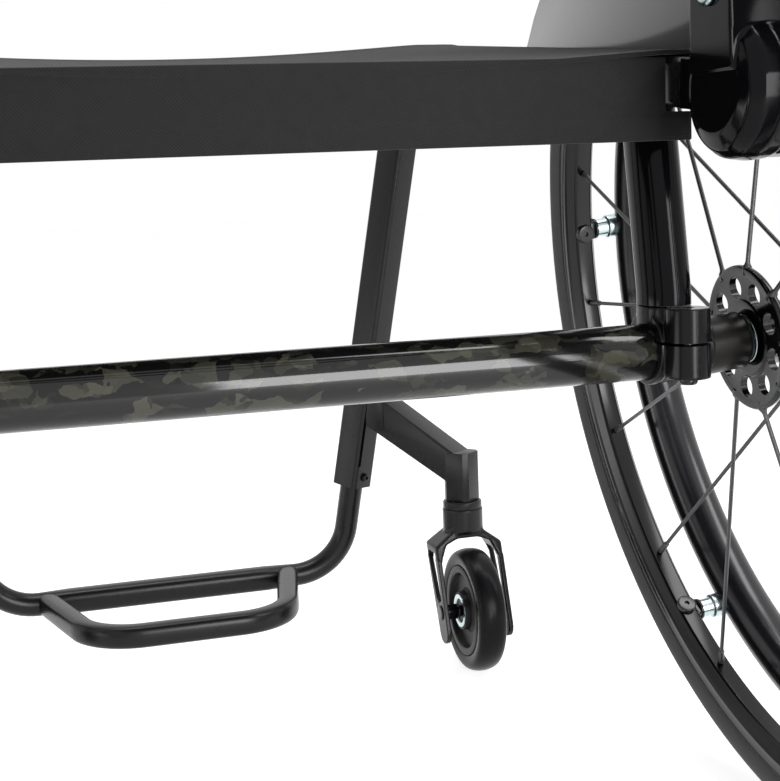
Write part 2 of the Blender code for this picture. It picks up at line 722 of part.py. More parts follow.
def make_caster_fork(side, swivel):
    outer = FORK_HALF_WIDTH
    broad = FORK_BLADE_WIDTH / 2
    neck = FORK_NECK_HALF
    neck_top = CROWN_BOTTOM_Z + FORK_NECK_RISE
    lean = math.atan2(CASTER_TRAIL, FORK_SHOULDER_Z - CASTER_RADIUS)
    up_blade = Vector((math.sin(lean), math.cos(lean)))
    eye = Vector((-CASTER_TRAIL, CASTER_RADIUS))
    tail = eye - up_blade * FORK_TAIL
    low = tail.y - FORK_TAIL_RADIUS - SIDE_GAP
    half_front = [(neck, neck_top), (outer, FORK_SHOULDER_Z), (outer, low), (BLADE_INNER, low)]
    half_front += [
        (BLADE_INNER * share, FORK_ARCH_Z - FORK_ARCH_DROP * drop) for share, drop in FORK_ARCH_SHAPE
    ]
    yoke = fork_outline(half_front + [(-x, z) for x, z in reversed(half_front)], False)
    yoke.parent = swivel

    # Seen from the side the blade leans back from the crown and tapers to a rounded tail
    high_z = FORK_SHOULDER_Z - SIDE_GAP
    crown = [(-broad, high_z), (-neck, neck_top + GAP), (neck, neck_top + GAP), (broad, high_z)]
    profile = fork_outline(crown + arc(tail, FORK_TAIL_RADIUS, -lean, -math.pi - lean), True)

    slot_half = FORK_SLOT_WIDTH / 2
    slot_high = FORK_SHOULDER_Z - FORK_SLOT_TOP_EDGE
    slot_low = eye + up_blade * (CASTER_BOLT_HEAD + FORK_SLOT_LOW_EDGE)
    slot_points = [
        (-slot_half, slot_high),
        (slot_half, slot_high),
        (slot_low.x + FORK_SLOT_END_WIDTH / 2, slot_low.y),
        (slot_low.x, slot_low.y - FORK_SLOT_TIP),
        (slot_low.x - FORK_SLOT_END_WIDTH / 2, slot_low.y),
    ]
    slot = fork_outline(slot_points, True)

    stem = turned(
        [
            (0, STEM_TOP_Z),
            (STEM_RADIUS, STEM_TOP_Z),
            (STEM_RADIUS, CROWN_TOP_Z),
            (CROWN_RADIUS, CROWN_TOP_Z),
            (CROWN_RADIUS, CROWN_BOTTOM_Z),
            (0, CROWN_BOTTOM_Z),
        ],
        TUBE_STEPS,
    )
    bolt_way = cylinder(CASTER_BOLT_RADIUS + GAP, -CUT_SPAN / 2, CUT_SPAN / 2)
    bolt_way.data.transform(Matrix.Rotation(math.pi / 2, 4, "Y"))
    bolt_way.data.transform(Matrix.Translation((0, CASTER_TRAIL, CASTER_RADIUS)))
    combine(yoke, as_cutter(profile, swivel), "INTERSECT")
    cut(yoke, as_cutter(slot, swivel))
    join(yoke, as_cutter(stem, swivel))
    cut(yoke, as_cutter(bolt_way, swivel))
    finish(yoke, f"caster_fork_{side}", "satin_frame", parent=swivel)


# Caster wheel: dished core, tyre and the bolt it turns on
def make_caster_wheel(side, sign, swivel):
    axis = empty(f"caster_axis_{side}", (0, CASTER_TRAIL, CASTER_RADIUS), (0, sign * math.pi / 2, 0))
    axis.parent = swivel
    core_outer = CASTER_RADIUS - CASTER_TYRE_HEIGHT - GAP
    core_inner = core_outer - CORE_RIM_THICKNESS
    bore = CASTER_BOLT_RADIUS + RUNNING_GAP
    half = [
        (core_outer, CORE_RIM_HALF),
        (core_inner, CORE_RIM_HALF),
        (core_inner, CORE_WEB_HALF),
        (CORE_BOSS_RADIUS, CORE_WEB_HALF),
        (CORE_BOSS_RADIUS, CORE_BOSS_HALF),
        (bore, CORE_BOSS_HALF),
    ]
    profile = [(r, -z) for r, z in half] + [(r, z) for r, z in reversed(half)]
    core = turned(profile, CASTER_STEPS, closed=True)
    finish(core, f"caster_core_{side}", "black_plastic", parent=axis)

    half = [
        (CASTER_RADIUS - CASTER_TYRE_HEIGHT * drop, CASTER_WIDTH / 2 * share)
        for drop, share in CASTER_TYRE_SHAPE
    ]
    tyre = turned(half + [(r, -z) for r, z in reversed(half)], CASTER_STEPS, closed=True)
    finish(tyre, f"caster_tyre_{side}", "caster_rubber", parent=axis)

    head_low = FORK_HALF_WIDTH + GAP
    head_high = head_low + CASTER_BOLT_HEAD_THICKNESS
    spacer_low = CORE_BOSS_HALF + RUNNING_GAP
    spacer_high = BLADE_INNER - GAP
    half = [
        (0, head_high),
        (CASTER_BOLT_HEAD, head_high),
        (CASTER_BOLT_HEAD, head_low),
        (CASTER_BOLT_RADIUS, head_low),
        (CASTER_BOLT_RADIUS, spacer_high),
        (CASTER_SPACER_RADIUS, spacer_high),
        (CASTER_SPACER_RADIUS, spacer_low),
        (CASTER_BOLT_RADIUS, spacer_low),
    ]
    bolt = turned(half + [(r, -z) for r, z in reversed(half)], SMALL_STEPS)
    finish(bolt, f"caster_axle_bolt_{side}", "steel", parent=axis)


# Footrest: a U tube whose stems stand in the legs, with a rear loop on its cross bar
def make_footrest():
    height = FOOT_BAR_Z
    stops = ((-1, FOOT_TOP_Z), (-1, height), (1, height), (1, FOOT_TOP_Z))
    corners = [leg_place(sign, z) for sign, z in stops]
    frame = tube(rounded_path(corners, [FOOT_BEND_RADIUS] * 2), FOOT_TUBE_RADIUS)
    finish(frame, "footrest_frame", "satin_frame")

    rear = FOOT_BAR_REACH - LOOP_DEPTH
    loop_corners = [
        at(-LOOP_FRONT_HALF, FOOT_BAR_REACH, height),
        at(-LOOP_REAR_HALF, rear, height),
        at(LOOP_REAR_HALF, rear, height),
        at(LOOP_FRONT_HALF, FOOT_BAR_REACH, height),
    ]
    loop = tube(rounded_path(loop_corners, [LOOP_CORNER_RADIUS] * 2), LOOP_TUBE_RADIUS)
    half = LOOP_FRONT_HALF + LOOP_TUBE_RADIUS * 2
    room = cylinder(FOOT_TUBE_RADIUS + GAP, -half, half, TUBE_STEPS)
    room.location = at(0, FOOT_BAR_REACH, height)
    room.rotation_euler = (0, math.pi / 2, 0)
    beyond = box((2 * half, half, half), at(0, FOOT_BAR_REACH + half / 2, height))
    cut(loop, as_cutter(room))
    cut(loop, as_cutter(beyond))
    finish(loop, "footrest_loop", "satin_frame")


# Screw in the back of each leg that holds the footrest stem at its height
def make_foot_screw(side, sign):
    face = FRAME_DEPTH / 2 + GAP
    screw = cylinder(FOOT_SCREW_RADIUS, face, face + FOOT_SCREW_LENGTH)
    screw.data.transform(Matrix.Rotation(-math.pi / 2, 4, "X"))
    along_leg(screw, sign, FOOT_SCREW_Z)
    finish(screw, f"footrest_screw_{side}", "steel")


# Rear tyre, a round section with a flat seat on the rim
def make_tyre(side, wheel_axis):
    centre = WHEEL_RADIUS - TYRE_SECTION
    seat_angle = math.acos((centre - TYRE_SEAT) / TYRE_SECTION)
    start = math.pi - seat_angle
    profile = [
        (centre + TYRE_SECTION * math.cos(a), TYRE_SECTION * math.sin(a))
        for a in (start - 2 * start * i / ARC_STEPS for i in range(ARC_STEPS + 1))
    ]
    tyre = turned(profile, RING_STEPS, closed=True)
    finish(tyre, f"tyre_{side}", "tyre_rubber", parent=wheel_axis)


def make_rim(side, wheel_axis):
    wall = RIM_WIDTH / 2
    bed = RIM_BED_WIDTH / 2
    profile = [
        (RIM_OUTER, -wall),
        (RIM_OUTER - RIM_WALL_DROP, -wall),
        (RIM_BED, -bed),
        (RIM_BED, bed),
        (RIM_OUTER - RIM_WALL_DROP, wall),
        (RIM_OUTER, wall),
    ]
    rim = turned(profile, RING_STEPS, closed=True)
    finish(rim, f"rim_{side}", "rim_black", parent=wheel_axis)


def wheel_direction(angle, sign):
    """A unit vector in the wheel's own plane, from straight ahead (0) towards up (90 degrees)."""
    return Vector((-sign * math.sin(angle), -math.cos(angle), 0))


# Handrim with its standoff tabs, which end on the side of the rim
def make_handrim(side, sign, wheel_axis):
    profile = [
        (HANDRIM_RADIUS + HANDRIM_SECTION * math.cos(a), HANDRIM_OFFSET + HANDRIM_SECTION * math.sin(a))
        for a in (-math.tau * i / ARC_STEPS for i in range(ARC_STEPS))
    ]
    ring = turned(profile, RING_STEPS, closed=True)
    tab_low = RIM_WIDTH / 2 + GAP
    tab_radius = RIM_OUTER - RIM_WALL_DROP / 2
    tabs = bmesh.new()
    for i in range(HANDRIM_TABS):
        angle = TAB_START + math.tau * i / HANDRIM_TABS
        outward = wheel_direction(angle, sign)
        height = HANDRIM_OFFSET - HANDRIM_SECTION / 2 - tab_low
        made = bmesh.ops.create_cube(tabs, size=1)["verts"]
        bmesh.ops.scale(tabs, vec=(TAB_THICKNESS, TAB_LENGTH, height), verts=made)
        bmesh.ops.rotate(tabs, matrix=Matrix.Rotation(math.atan2(outward.y, outward.x), 3, "Z"), verts=made)
        place = outward * (tab_radius - TAB_THICKNESS / 2) + Vector((0, 0, tab_low + height / 2))
        bmesh.ops.translate(tabs, vec=place, verts=made)
    mesh = bpy.data.meshes.new("tabs")
    tabs.to_mesh(mesh)
    tabs.free()
    tab_set = bpy.data.objects.new("tabs", mesh)
    bpy.context.scene.collection.objects.link(tab_set)
    join(ring, as_cutter(tab_set, wheel_axis))
    finish(ring, f"handrim_{side}", "handrim_black", parent=wheel_axis)


# Hub with two large drilled flanges, and the spokes laced straight from them to the rim
def make_hub(side, sign, wheel_axis):
    half = HUB_HALF_WIDTH
    inner = half - FLANGE_THICKNESS
    bore = AXLE_PIN_RADIUS + RUNNING_GAP
    seat = BEARING_RADIUS + GAP
    step = half - BEARING_WIDTH - GAP
    profile = [
        (FLANGE_RADIUS, half),
        (FLANGE_RADIUS, inner),
        (HUB_BARREL_RADIUS, inner),
        (HUB_BARREL_RADIUS, -inner),
        (FLANGE_RADIUS, -inner),
        (FLANGE_RADIUS, -half),
        (seat, -half),
        (seat, -step),
        (bore, -step),
        (bore, half),
    ]
    hub = turned(profile, HUB_STEPS, closed=True)

    holes = bmesh.new()
    for i in range(FLANGE_HOLES):
        angle = SPOKE_START + math.tau * (i + 0.5) / FLANGE_HOLES
        place = wheel_direction(angle, sign) * FLANGE_HOLE_CIRCLE
        bmesh.ops.create_cone(
            holes,
            cap_ends=True,
            segments=ARC_STEPS,
            radius1=FLANGE_HOLE_RADIUS,
            radius2=FLANGE_HOLE_RADIUS,
            depth=CUT_SPAN,
            matrix=Matrix.Translation(place),
        )
    spokes = bmesh.new()
    for i in range(SPOKE_COUNT):
        angle = SPOKE_START + math.tau * i / SPOKE_COUNT
        flange = -1 if i % 2 == 0 else 1
        outward = wheel_direction(angle, sign)
        foot = outward * SPOKE_SEAT_RADIUS + Vector((0, 0, flange * (half - FLANGE_THICKNESS / 2)))
        tip = outward * (RIM_BED * math.cos(math.pi / RING_STEPS) - 2 * GAP)
        along = tip - foot
        turn = along.to_track_quat("Z", "Y").to_matrix().to_4x4()
        bmesh.ops.create_cone(
            spokes,
            cap_ends=True,
            segments=SPOKE_SIDES,
            radius1=SPOKE_RADIUS,
            radius2=SPOKE_RADIUS,
            depth=along.length,
            matrix=Matrix.Translation((foot + tip) / 2) @ turn,
        )
    operands = []
    for shape in (holes, spokes):
        mesh = bpy.data.meshes.new("hub_operand")
        shape.to_mesh(mesh)
        shape.free()
        operand = bpy.data.objects.new("hub_operand", mesh)
        bpy.context.scene.collection.objects.link(operand)
        operands.append(as_cutter(operand, wheel_axis))
    cut(hub, operands[0])
    join(hub, operands[1])
    finish(hub, f"hub_and_spokes_{side}", "black_anodised", parent=wheel_axis)

    bearing = turned(
        [
            (BEARING_RADIUS, -half + BEARING_WIDTH),
            (BEARING_RADIUS, -half),
            (bore, -half),
            (bore, -half + BEARING_WIDTH),
        ],
        TUBE_STEPS,
        closed=True,
    )
    finish(bearing, f"hub_bearing_{side}", "steel", parent=wheel_axis)


# Quick-release axle pin with a hollow head, and the button that frees its locking balls
def make_quick_axle(side, wheel_axis):
    head_low = HUB_HALF_WIDTH + GAP
    head_high = head_low + AXLE_HEAD_LENGTH
    button_way = BUTTON_RADIUS + RUNNING_GAP
    button_floor = head_high + BUTTON_PROUD - BUTTON_LENGTH - BUTTON_TRAVEL - SIDE_GAP
    tip = -HUB_HALF_WIDTH - AXLE_PIN_INSERT
    pin = turned(
        [
            (0, button_floor),
            (button_way, button_floor),
            (button_way, head_high),
            (AXLE_HEAD_RADIUS, head_high),
            (AXLE_HEAD_RADIUS, head_low),
            (AXLE_PIN_RADIUS, head_low),
            (AXLE_PIN_RADIUS, tip),
            (0, tip),
        ],
        SMALL_STEPS,
    )
    finish(pin, f"quick_release_axle_{side}", "steel", parent=wheel_axis, smooth=False)

    top = head_high + BUTTON_PROUD
    button = cylinder(BUTTON_RADIUS, top - BUTTON_LENGTH, top)
    finish(button, f"release_button_{side}", "steel", parent=wheel_axis)


# Backrest bracket: a forged foot on the end of the seat rail, with two cheeks for the post
def make_back_bracket(side, sign):
    foot = cylinder(BRACKET_FOOT_RADIUS, 0, BRACKET_FOOT_WIDTH, TUBE_STEPS)
    foot.location = at(sign * BRACKET_FOOT_INNER_X, PIVOT_REACH, BRACKET_FOOT_Z)
    foot.rotation_euler = (0, sign * math.pi / 2, 0)
    corner = BRACKET_HEAD_RADIUS + SIDE_GAP
    points = arc((PIVOT_REACH, PIVOT_Z), BRACKET_HEAD_RADIUS, math.pi, 0) + [
        (PIVOT_REACH + corner, BRACKET_HEAD_LOW_Z),
        (PIVOT_REACH - corner, BRACKET_HEAD_LOW_Z),
    ]
    bracket = side_plate(points, sign * RAIL_X, 2 * BRACKET_HALF_WIDTH)
    neck_length = BRACKET_NECK + BRACKET_FOOT_RADIUS
    neck = box((FRAME_WIDTH, neck_length, FRAME_DEPTH), (0, GAP + neck_length / 2, 0))
    neck.location = at(sign * RAIL_X, RAIL_REAR_REACH, rail_z(RAIL_REAR_REACH))
    neck.rotation_euler = (-SEAT_ANGLE, 0, 0)
    slot_floor = PIVOT_Z - POST_RADIUS - SIDE_GAP
    slot_size = 2 * BRACKET_FOOT_RADIUS
    stop = POST_RADIUS / math.cos(RECLINE) + BRACKET_HEAD_RADIUS * math.tan(RECLINE) + GAP
    slot = box(
        (2 * (POST_RADIUS + SIDE_GAP), slot_size, slot_size),
        at(sign * RAIL_X, PIVOT_REACH - stop + slot_size / 2, slot_floor + slot_size / 2),
    )
    pin_way = cylinder(PIVOT_PIN_RADIUS + GAP, -CUT_SPAN / 4, CUT_SPAN / 4)
    pin_way.location = at(sign * RAIL_X, PIVOT_REACH, PIVOT_Z)
    pin_way.rotation_euler = (0, math.pi / 2, 0)
    join(bracket, as_cutter(foot))
    join(bracket, as_cutter(neck))
    cut(bracket, as_cutter(slot))
    cut(bracket, as_cutter(pin_way))
    finish(bracket, f"back_bracket_{side}", "gloss_frame")

    head_low = BRACKET_HALF_WIDTH + GAP
    head_high = head_low + PIN_HEAD_THICKNESS
    pin = turned(
        [
            (0, head_high),
            (PIN_HEAD_RADIUS, head_high),
            (PIN_HEAD_RADIUS, head_low),
            (PIVOT_PIN_RADIUS, head_low),
            (PIVOT_PIN_RADIUS, -BRACKET_HALF_WIDTH),
            (0, -BRACKET_HALF_WIDTH),
        ],
        SMALL_STEPS,
    )
    pin.location = at(sign * RAIL_X, PIVOT_REACH, PIVOT_Z)
    pin.rotation_euler = (0, -sign * math.pi / 2, 0)
    finish(pin, f"back_pivot_pin_{side}", "steel")


# Backrest post with its cap, standing in the backrest's own leaning frame
def make_back_post(side, sign, back_axis):
    post = cylinder(POST_RADIUS, 0, POST_LENGTH, TUBE_STEPS)
    eye = cylinder(POST_RADIUS, -POST_RADIUS, POST_RADIUS, TUBE_STEPS)
    eye.data.transform(Matrix.Rotation(math.pi / 2, 4, "Y"))
    pin_way = cylinder(PIVOT_PIN_RADIUS + RUNNING_GAP, -CUT_SPAN / 4, CUT_SPAN / 4)
    pin_way.data.transform(Matrix.Rotation(math.pi / 2, 4, "Y"))
    for operand in (eye, pin_way):
        operand.location = (sign * RAIL_X, 0, 0)
        as_cutter(operand, back_axis)
    post.location = (sign * RAIL_X, 0, 0)
    join(post, eye)
    cut(post, pin_way)
    finish(post, f"back_post_{side}", "gloss_frame", parent=back_axis)

    cap = domed(POST_RADIUS, POST_LENGTH + GAP, CAP_LENGTH, TUBE_STEPS)
    cap.location = (sign * RAIL_X, 0, 0)
    finish(cap, f"post_cap_{side}", "black_plastic", parent=back_axis)


# Bowed bar between the posts, and the upholstery panel in front of it
def make_back_panel(back_axis):
    shares = [i / CROSSBAR_SPANS for i in range(-CROSSBAR_SPANS, CROSSBAR_SPANS + 1)]
    bar = tube(
        [(RAIL_X * share, CROSSBAR_BOW * (1 - share**2), CROSSBAR_HEIGHT) for share in shares],
        CROSSBAR_RADIUS,
    )
    for sign in SIDES.values():
        room = cylinder(POST_RADIUS + GAP, 0, POST_LENGTH, TUBE_STEPS)
        room.location = (sign * RAIL_X, 0, 0)
        cut(bar, as_cutter(room, back_axis))
    finish(bar, "back_crossbar", "gloss_frame", parent=back_axis)

    width = 2 * (RAIL_X - POST_RADIUS - GAP)
    panel = box((width, BACK_THICKNESS, BACK_HIGH - BACK_LOW), (0, 0, (BACK_HIGH + BACK_LOW) / 2))
    panel.location = (0, -BACK_FORWARD, 0)
    finish(panel, "back_upholstery", "seat_fabric", parent=back_axis, smooth=False)


# Seat sling laid over the rails, and the flap that closes it behind
def make_seat():
    top = FRAME_DEPTH / 2 / math.cos(SEAT_ANGLE) + GAP
    length = (SLING_FRONT_REACH - SLING_REAR_REACH) / math.cos(SEAT_ANGLE)
    width = 2 * RAIL_X + FRAME_WIDTH
    sling = box((width, length, SLING_THICKNESS), (0, -length / 2, SLING_THICKNESS / 2))
    sling.location = at(0, SLING_REAR_REACH, rail_z(SLING_REAR_REACH) + top)
    sling.rotation_euler = (-SEAT_ANGLE, 0, 0)
    finish(sling, "seat_sling", "seat_fabric", smooth=False)

    rail_top = rail_z(FLAP_REACH - SLING_THICKNESS / 2) + FRAME_DEPTH / 2 / math.cos(SEAT_ANGLE)
    rail_low = rail_z(FLAP_REACH) - FRAME_DEPTH / 2 / math.cos(SEAT_ANGLE) - 2 * SIDE_GAP
    inner = RAIL_X - FRAME_WIDTH / 2 - SIDE_GAP
    outer = FLAP_HALF_WIDTH
    points = [
        (-outer, FLAP_BOTTOM_Z),
        (outer, FLAP_BOTTOM_Z),
        (outer, rail_low),
        (inner, rail_low),
        (inner, rail_top),
        (-inner, rail_top),
        (-inner, rail_low),
        (-outer, rail_low),
    ]
    flap = outline(points, SLING_THICKNESS)
    flap.data.transform(Matrix.Rotation(math.pi / 2, 4, "X"))
    flap.location = (0, AXLE_Y - FLAP_REACH, 0)
    finish(flap, "seat_flap", "seat_fabric", smooth=False)


# Side guard: a thin panel on the rail's outer face whose top follows the wheel
def make_side_guard(side, sign):
    low_rear = (GUARD_REAR_REACH, rail_z(GUARD_REAR_REACH) - FRAME_DEPTH / 2)
    low_front = (GUARD_FRONT_REACH, rail_z(GUARD_FRONT_REACH) - FRAME_DEPTH / 2)
    start = math.acos(GUARD_FRONT_REACH / GUARD_ARC_RADIUS)
    stop = math.acos(GUARD_REAR_REACH / GUARD_ARC_RADIUS)
    points = [low_rear, low_front] + arc((0, WHEEL_Z), GUARD_ARC_RADIUS, start, stop)
    x = RAIL_X + FRAME_WIDTH / 2 + GAP + GUARD_THICKNESS / 2
    guard = side_plate(points, sign * x, GUARD_THICKNESS)
    finish(guard, f"side_guard_{side}", "guard_panel", smooth=False)

    bolt = domed(GUARD_BOLT_RADIUS, 0, GUARD_BOLT_HEIGHT)
    face = x + GUARD_THICKNESS / 2 + GAP
    bolt.location = at(sign * face, GUARD_BOLT_REACH, rail_z(GUARD_BOLT_REACH))
    bolt.rotation_euler = (0, sign * math.pi / 2, 0)
    finish(bolt, f"guard_bolt_{side}", "steel")


FRAME_SECTION = section_curve(chamfered(FRAME_WIDTH, FRAME_DEPTH, FRAME_CHAMFER))
FRAME_ROOM_SECTION = section_curve(
    chamfered(FRAME_WIDTH + 2 * GAP, FRAME_DEPTH + 2 * GAP, FRAME_CHAMFER)
)
STRUT_SECTION = section_curve(ellipse(STRUT_WIDTH, STRUT_DEPTH, 20))

make_axle_tube()
make_footrest()
make_seat()
backrest = empty("backrest_axis", at(0, PIVOT_REACH, PIVOT_Z), (-RECLINE, 0, 0))
make_back_panel(backrest)
for name, sign in SIDES.items():
    axis = empty(
        f"wheel_axis_{name}",
        (sign * WHEEL_OFFSET, AXLE_Y, WHEEL_Z),
        (0, sign * (math.pi / 2 - CAMBER), 0),
    )
    swivel = empty(f"swivel_axis_{name}", at(sign * STEM_X, STEM_REACH, 0))
    make_axle_clamp(name, sign)
    make_camber_plug(name, sign, axis)
    make_side_frame(name, sign)
    make_rear_strut(name, sign)
    make_caster_arm(name, sign)
    make_caster_fork(name, swivel)
    make_caster_wheel(name, sign, swivel)
    make_foot_screw(name, sign)
    make_tyre(name, axis)
    make_rim(name, axis)
    make_handrim(name, sign, axis)
    make_hub(name, sign, axis)
    make_quick_axle(name, axis)
    make_back_bracket(name, sign)
    make_back_post(name, sign, backrest)
    make_side_guard(name, sign)
bpy.context.view_layer.update()
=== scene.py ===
# %% [markdown]
# # A light active wheelchair, seen from behind and below the seat
# The frame of the chair is a set of plain solids with joints. This lesson dresses them: it models
# each piece again with its real edges, seams and screws, gives it a finish, and lets it ride on
# the solid's own moving body. Distances are metres, +Z is up, and the chair faces -Y.

# %% Load the plain frame
import json
from math import acos, atan2, copysign, cos, exp, pi, radians, sin, tan, tau

import bpy
from mathutils import Matrix, Vector

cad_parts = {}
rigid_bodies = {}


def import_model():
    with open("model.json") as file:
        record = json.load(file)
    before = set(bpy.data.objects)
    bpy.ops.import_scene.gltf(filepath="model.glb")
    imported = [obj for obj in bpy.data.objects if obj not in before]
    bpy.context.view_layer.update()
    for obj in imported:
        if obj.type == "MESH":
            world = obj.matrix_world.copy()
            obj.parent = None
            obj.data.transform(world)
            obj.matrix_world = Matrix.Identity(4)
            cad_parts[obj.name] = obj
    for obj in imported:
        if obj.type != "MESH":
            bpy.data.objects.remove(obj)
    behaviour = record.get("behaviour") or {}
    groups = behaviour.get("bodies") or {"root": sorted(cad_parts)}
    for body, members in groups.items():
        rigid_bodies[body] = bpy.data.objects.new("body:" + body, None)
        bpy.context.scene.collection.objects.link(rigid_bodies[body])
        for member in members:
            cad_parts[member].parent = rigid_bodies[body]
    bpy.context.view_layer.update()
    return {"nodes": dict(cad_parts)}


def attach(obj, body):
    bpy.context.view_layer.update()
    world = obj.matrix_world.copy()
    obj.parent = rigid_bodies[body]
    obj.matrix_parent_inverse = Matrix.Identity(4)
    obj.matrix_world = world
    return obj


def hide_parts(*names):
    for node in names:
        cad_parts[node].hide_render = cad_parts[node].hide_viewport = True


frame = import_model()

scene = bpy.context.scene

# %% [markdown]
# ## Selecting and editing
# Blender's operators act on whatever is selected, so each step starts from an empty selection.
# Small helpers keep that in one place.

# %% Selection helpers
def clear_selection():
    if bpy.context.object and bpy.context.object.mode != "OBJECT":
        bpy.ops.object.mode_set(mode="OBJECT")
    bpy.ops.object.select_all(action="DESELECT")


def take(obj):
    """Make one object the only selected and active one."""
    clear_selection()
    obj.select_set(True)
    bpy.context.view_layer.objects.active = obj
    return obj


def added(operator, **settings):
    """What an operator adds, as the only object selected."""
    clear_selection()
    operator(**settings)
    return bpy.context.object


def drop(obj):
    bpy.data.objects.remove(obj, do_unlink=True)


def open_up(obj, kind="VERT", action="SELECT"):
    """Enter edit mode with everything, or nothing, selected."""
    take(obj)
    bpy.ops.object.mode_set(mode="EDIT")
    bpy.ops.mesh.select_mode(type=kind)
    bpy.ops.mesh.select_all(action=action)


def close_up():
    bpy.ops.object.mode_set(mode="OBJECT")


def weld(obj, distance=0.00001):
    open_up(obj)
    bpy.ops.mesh.remove_doubles(threshold=distance)
    bpy.ops.mesh.normals_make_consistent(inside=False)
    close_up()
    return obj


# %% [markdown]
# ## Ways to make a shape
# Most of a wheelchair is turned, bent from tube, or forged. A turned part is a profile spun round
# an axis, and a tube is a section swept along a path. A forging is joined from blocks, and then
# remeshed and relaxed, so that its joins and edges round off as they do in a die.

# %% Turning and sweeping
def eased(points, radius, closed=False, steps=3):
    """Round the corners of a flat outline, each by at most a radius."""
    count = len(points)
    result = []
    for i, corner in enumerate(points):
        here = Vector(corner)
        if not closed and i in (0, count - 1):
            result.append(here)
            continue
        back = Vector(points[i - 1]) - here
        onward = Vector(points[(i + 1) % count]) - here
        reach = min(radius, back.length * 0.45, onward.length * 0.45)
        start = here + back.normalized() * reach
        stop = here + onward.normalized() * reach
        for k in range(steps + 1):
            t = k / steps
            result.append((1 - t) ** 2 * start + 2 * t * (1 - t) * here + t**2 * stop)
    return result


def turned(profile, steps, closed=False, ease=0, arc=3):
    """Spin (radius, height) points about Z. An open profile starts and ends on the axis."""
    if ease:
        profile = eased(profile, ease, closed, arc)
    obj = added(bpy.ops.mesh.primitive_circle_add, vertices=len(profile), radius=1)
    for vertex, (radius, height) in zip(obj.data.vertices, profile):
        vertex.co = (max(radius, 0), 0, height)
    if not closed:
        open_up(obj, "EDGE", "DESELECT")
        close_up()
        for edge in obj.data.edges:
            edge.select = set(edge.vertices) == {0, len(profile) - 1}
        bpy.ops.object.mode_set(mode="EDIT")
        bpy.ops.mesh.delete(type="EDGE")
        close_up()
    open_up(obj)
    bpy.ops.mesh.spin(steps=steps, angle=tau, center=(0, 0, 0), axis=(0, 0, 1))
    close_up()
    return weld(obj)


def curve_path(points, closed=False):
    obj = added(bpy.ops.curve.primitive_bezier_curve_add)
    obj.data.splines.clear()
    obj.data.twist_mode = "MINIMUM"
    spline = obj.data.splines.new("POLY")
    spline.points.add(len(points) - 1)
    for point, place in zip(spline.points, points):
        point.co = (*place, 1)
    spline.use_cyclic_u = closed
    return obj


def swept(path, section, tilts=()):
    """Sweep a flat closed outline along a path and cap both ends."""
    rail = curve_path(path)
    outline = curve_path([(x, y, 0) for x, y in section], closed=True)
    outline.data.dimensions = "2D"
    outline.data.fill_mode = "NONE"
    rail.data.bevel_mode = "OBJECT"
    rail.data.bevel_object = outline
    rail.data.use_fill_caps = True
    for point, tilt in zip(rail.data.splines[0].points, tilts):
        point.tilt = tilt
    take(rail)
    bpy.ops.object.convert(target="MESH")
    made = bpy.context.object
    drop(outline)
    return weld(made)


# %% Carving, placing and forging
shift = Matrix.Translation
QUARTER = pi / 2


def turn(angle, axis):
    return Matrix.Rotation(angle, 4, axis)


def apply_modifier(obj, kind, **settings):
    take(obj)
    bpy.ops.object.modifier_add(type=kind)
    modifier = obj.modifiers[-1]
    for key, value in settings.items():
        setattr(modifier, key, value)
    bpy.ops.object.modifier_apply(modifier=modifier.name)
    return obj


def bevel(obj, width, segments=3, sharper_than=30):
    """Break the edges that are sharper than an angle in degrees."""
    limit = {"limit_method": "ANGLE", "angle_limit": radians(sharper_than)}
    return apply_modifier(obj, "BEVEL", width=width, segments=segments, **limit)


def carve(obj, tool, operation="DIFFERENCE"):
    """Cut a tool out of an object, or join it on, and throw the tool away."""
    apply_modifier(obj, "BOOLEAN", operation=operation, solver="EXACT", object=tool)
    drop(tool)
    return obj


def settle(obj, matrix=None):
    """Move a finished shape to its place and write that place into its mesh."""
    take(obj)
    bpy.ops.object.transform_apply()
    obj.matrix_world = matrix or Matrix()
    bpy.ops.object.transform_apply()
    return obj


def remeshed(obj, voxel, **settings):
    return apply_modifier(obj, "REMESH", mode="VOXEL", voxel_size=voxel, **settings)


def forged(obj, voxel, relax, keep):
    """Round off all joins and edges as in a die, then thin the mesh."""
    remeshed(obj, voxel, use_smooth_shade=True)
    apply_modifier(obj, "SMOOTH", iterations=relax)
    return apply_modifier(obj, "DECIMATE", ratio=keep)


# %% [markdown]
# ## Blocks, rods and copies
# Boxes and rods are only starting shapes. Nearly everything on the chair comes in pairs, so the
# left piece is modelled, and the right one is its mirror image with its faces turned out again.

# %% Primitives and mirror copies
def block(size, matrix=None):
    return settle(added(bpy.ops.mesh.primitive_cube_add, size=1, scale=size), matrix)


def rod(radius, low, high, steps=48, matrix=None):
    """A rod about Z from one height to another, set at its place."""
    sizes = {"vertices": steps, "radius": radius, "depth": high - low}
    middle = (0, 0, (low + high) / 2)
    return settle(added(bpy.ops.mesh.primitive_cylinder_add, location=middle, **sizes), matrix)


def twin_of(obj, matrix=None):
    """A copy of an object with its own mesh."""
    take(obj)
    bpy.ops.object.duplicate()
    copy = bpy.context.object
    return settle(copy, matrix) if matrix else copy


def mirrored(obj):
    copy = twin_of(obj, Matrix.Scale(-1, 4, (1, 0, 0)))
    open_up(copy)
    bpy.ops.mesh.normals_make_consistent(inside=False)
    close_up()
    return copy


def merged(objects):
    """Join several objects into the first."""
    clear_selection()
    for obj in objects:
        obj.select_set(True)
    bpy.context.view_layer.objects.active = objects[0]
    bpy.ops.object.join()
    return objects[0]


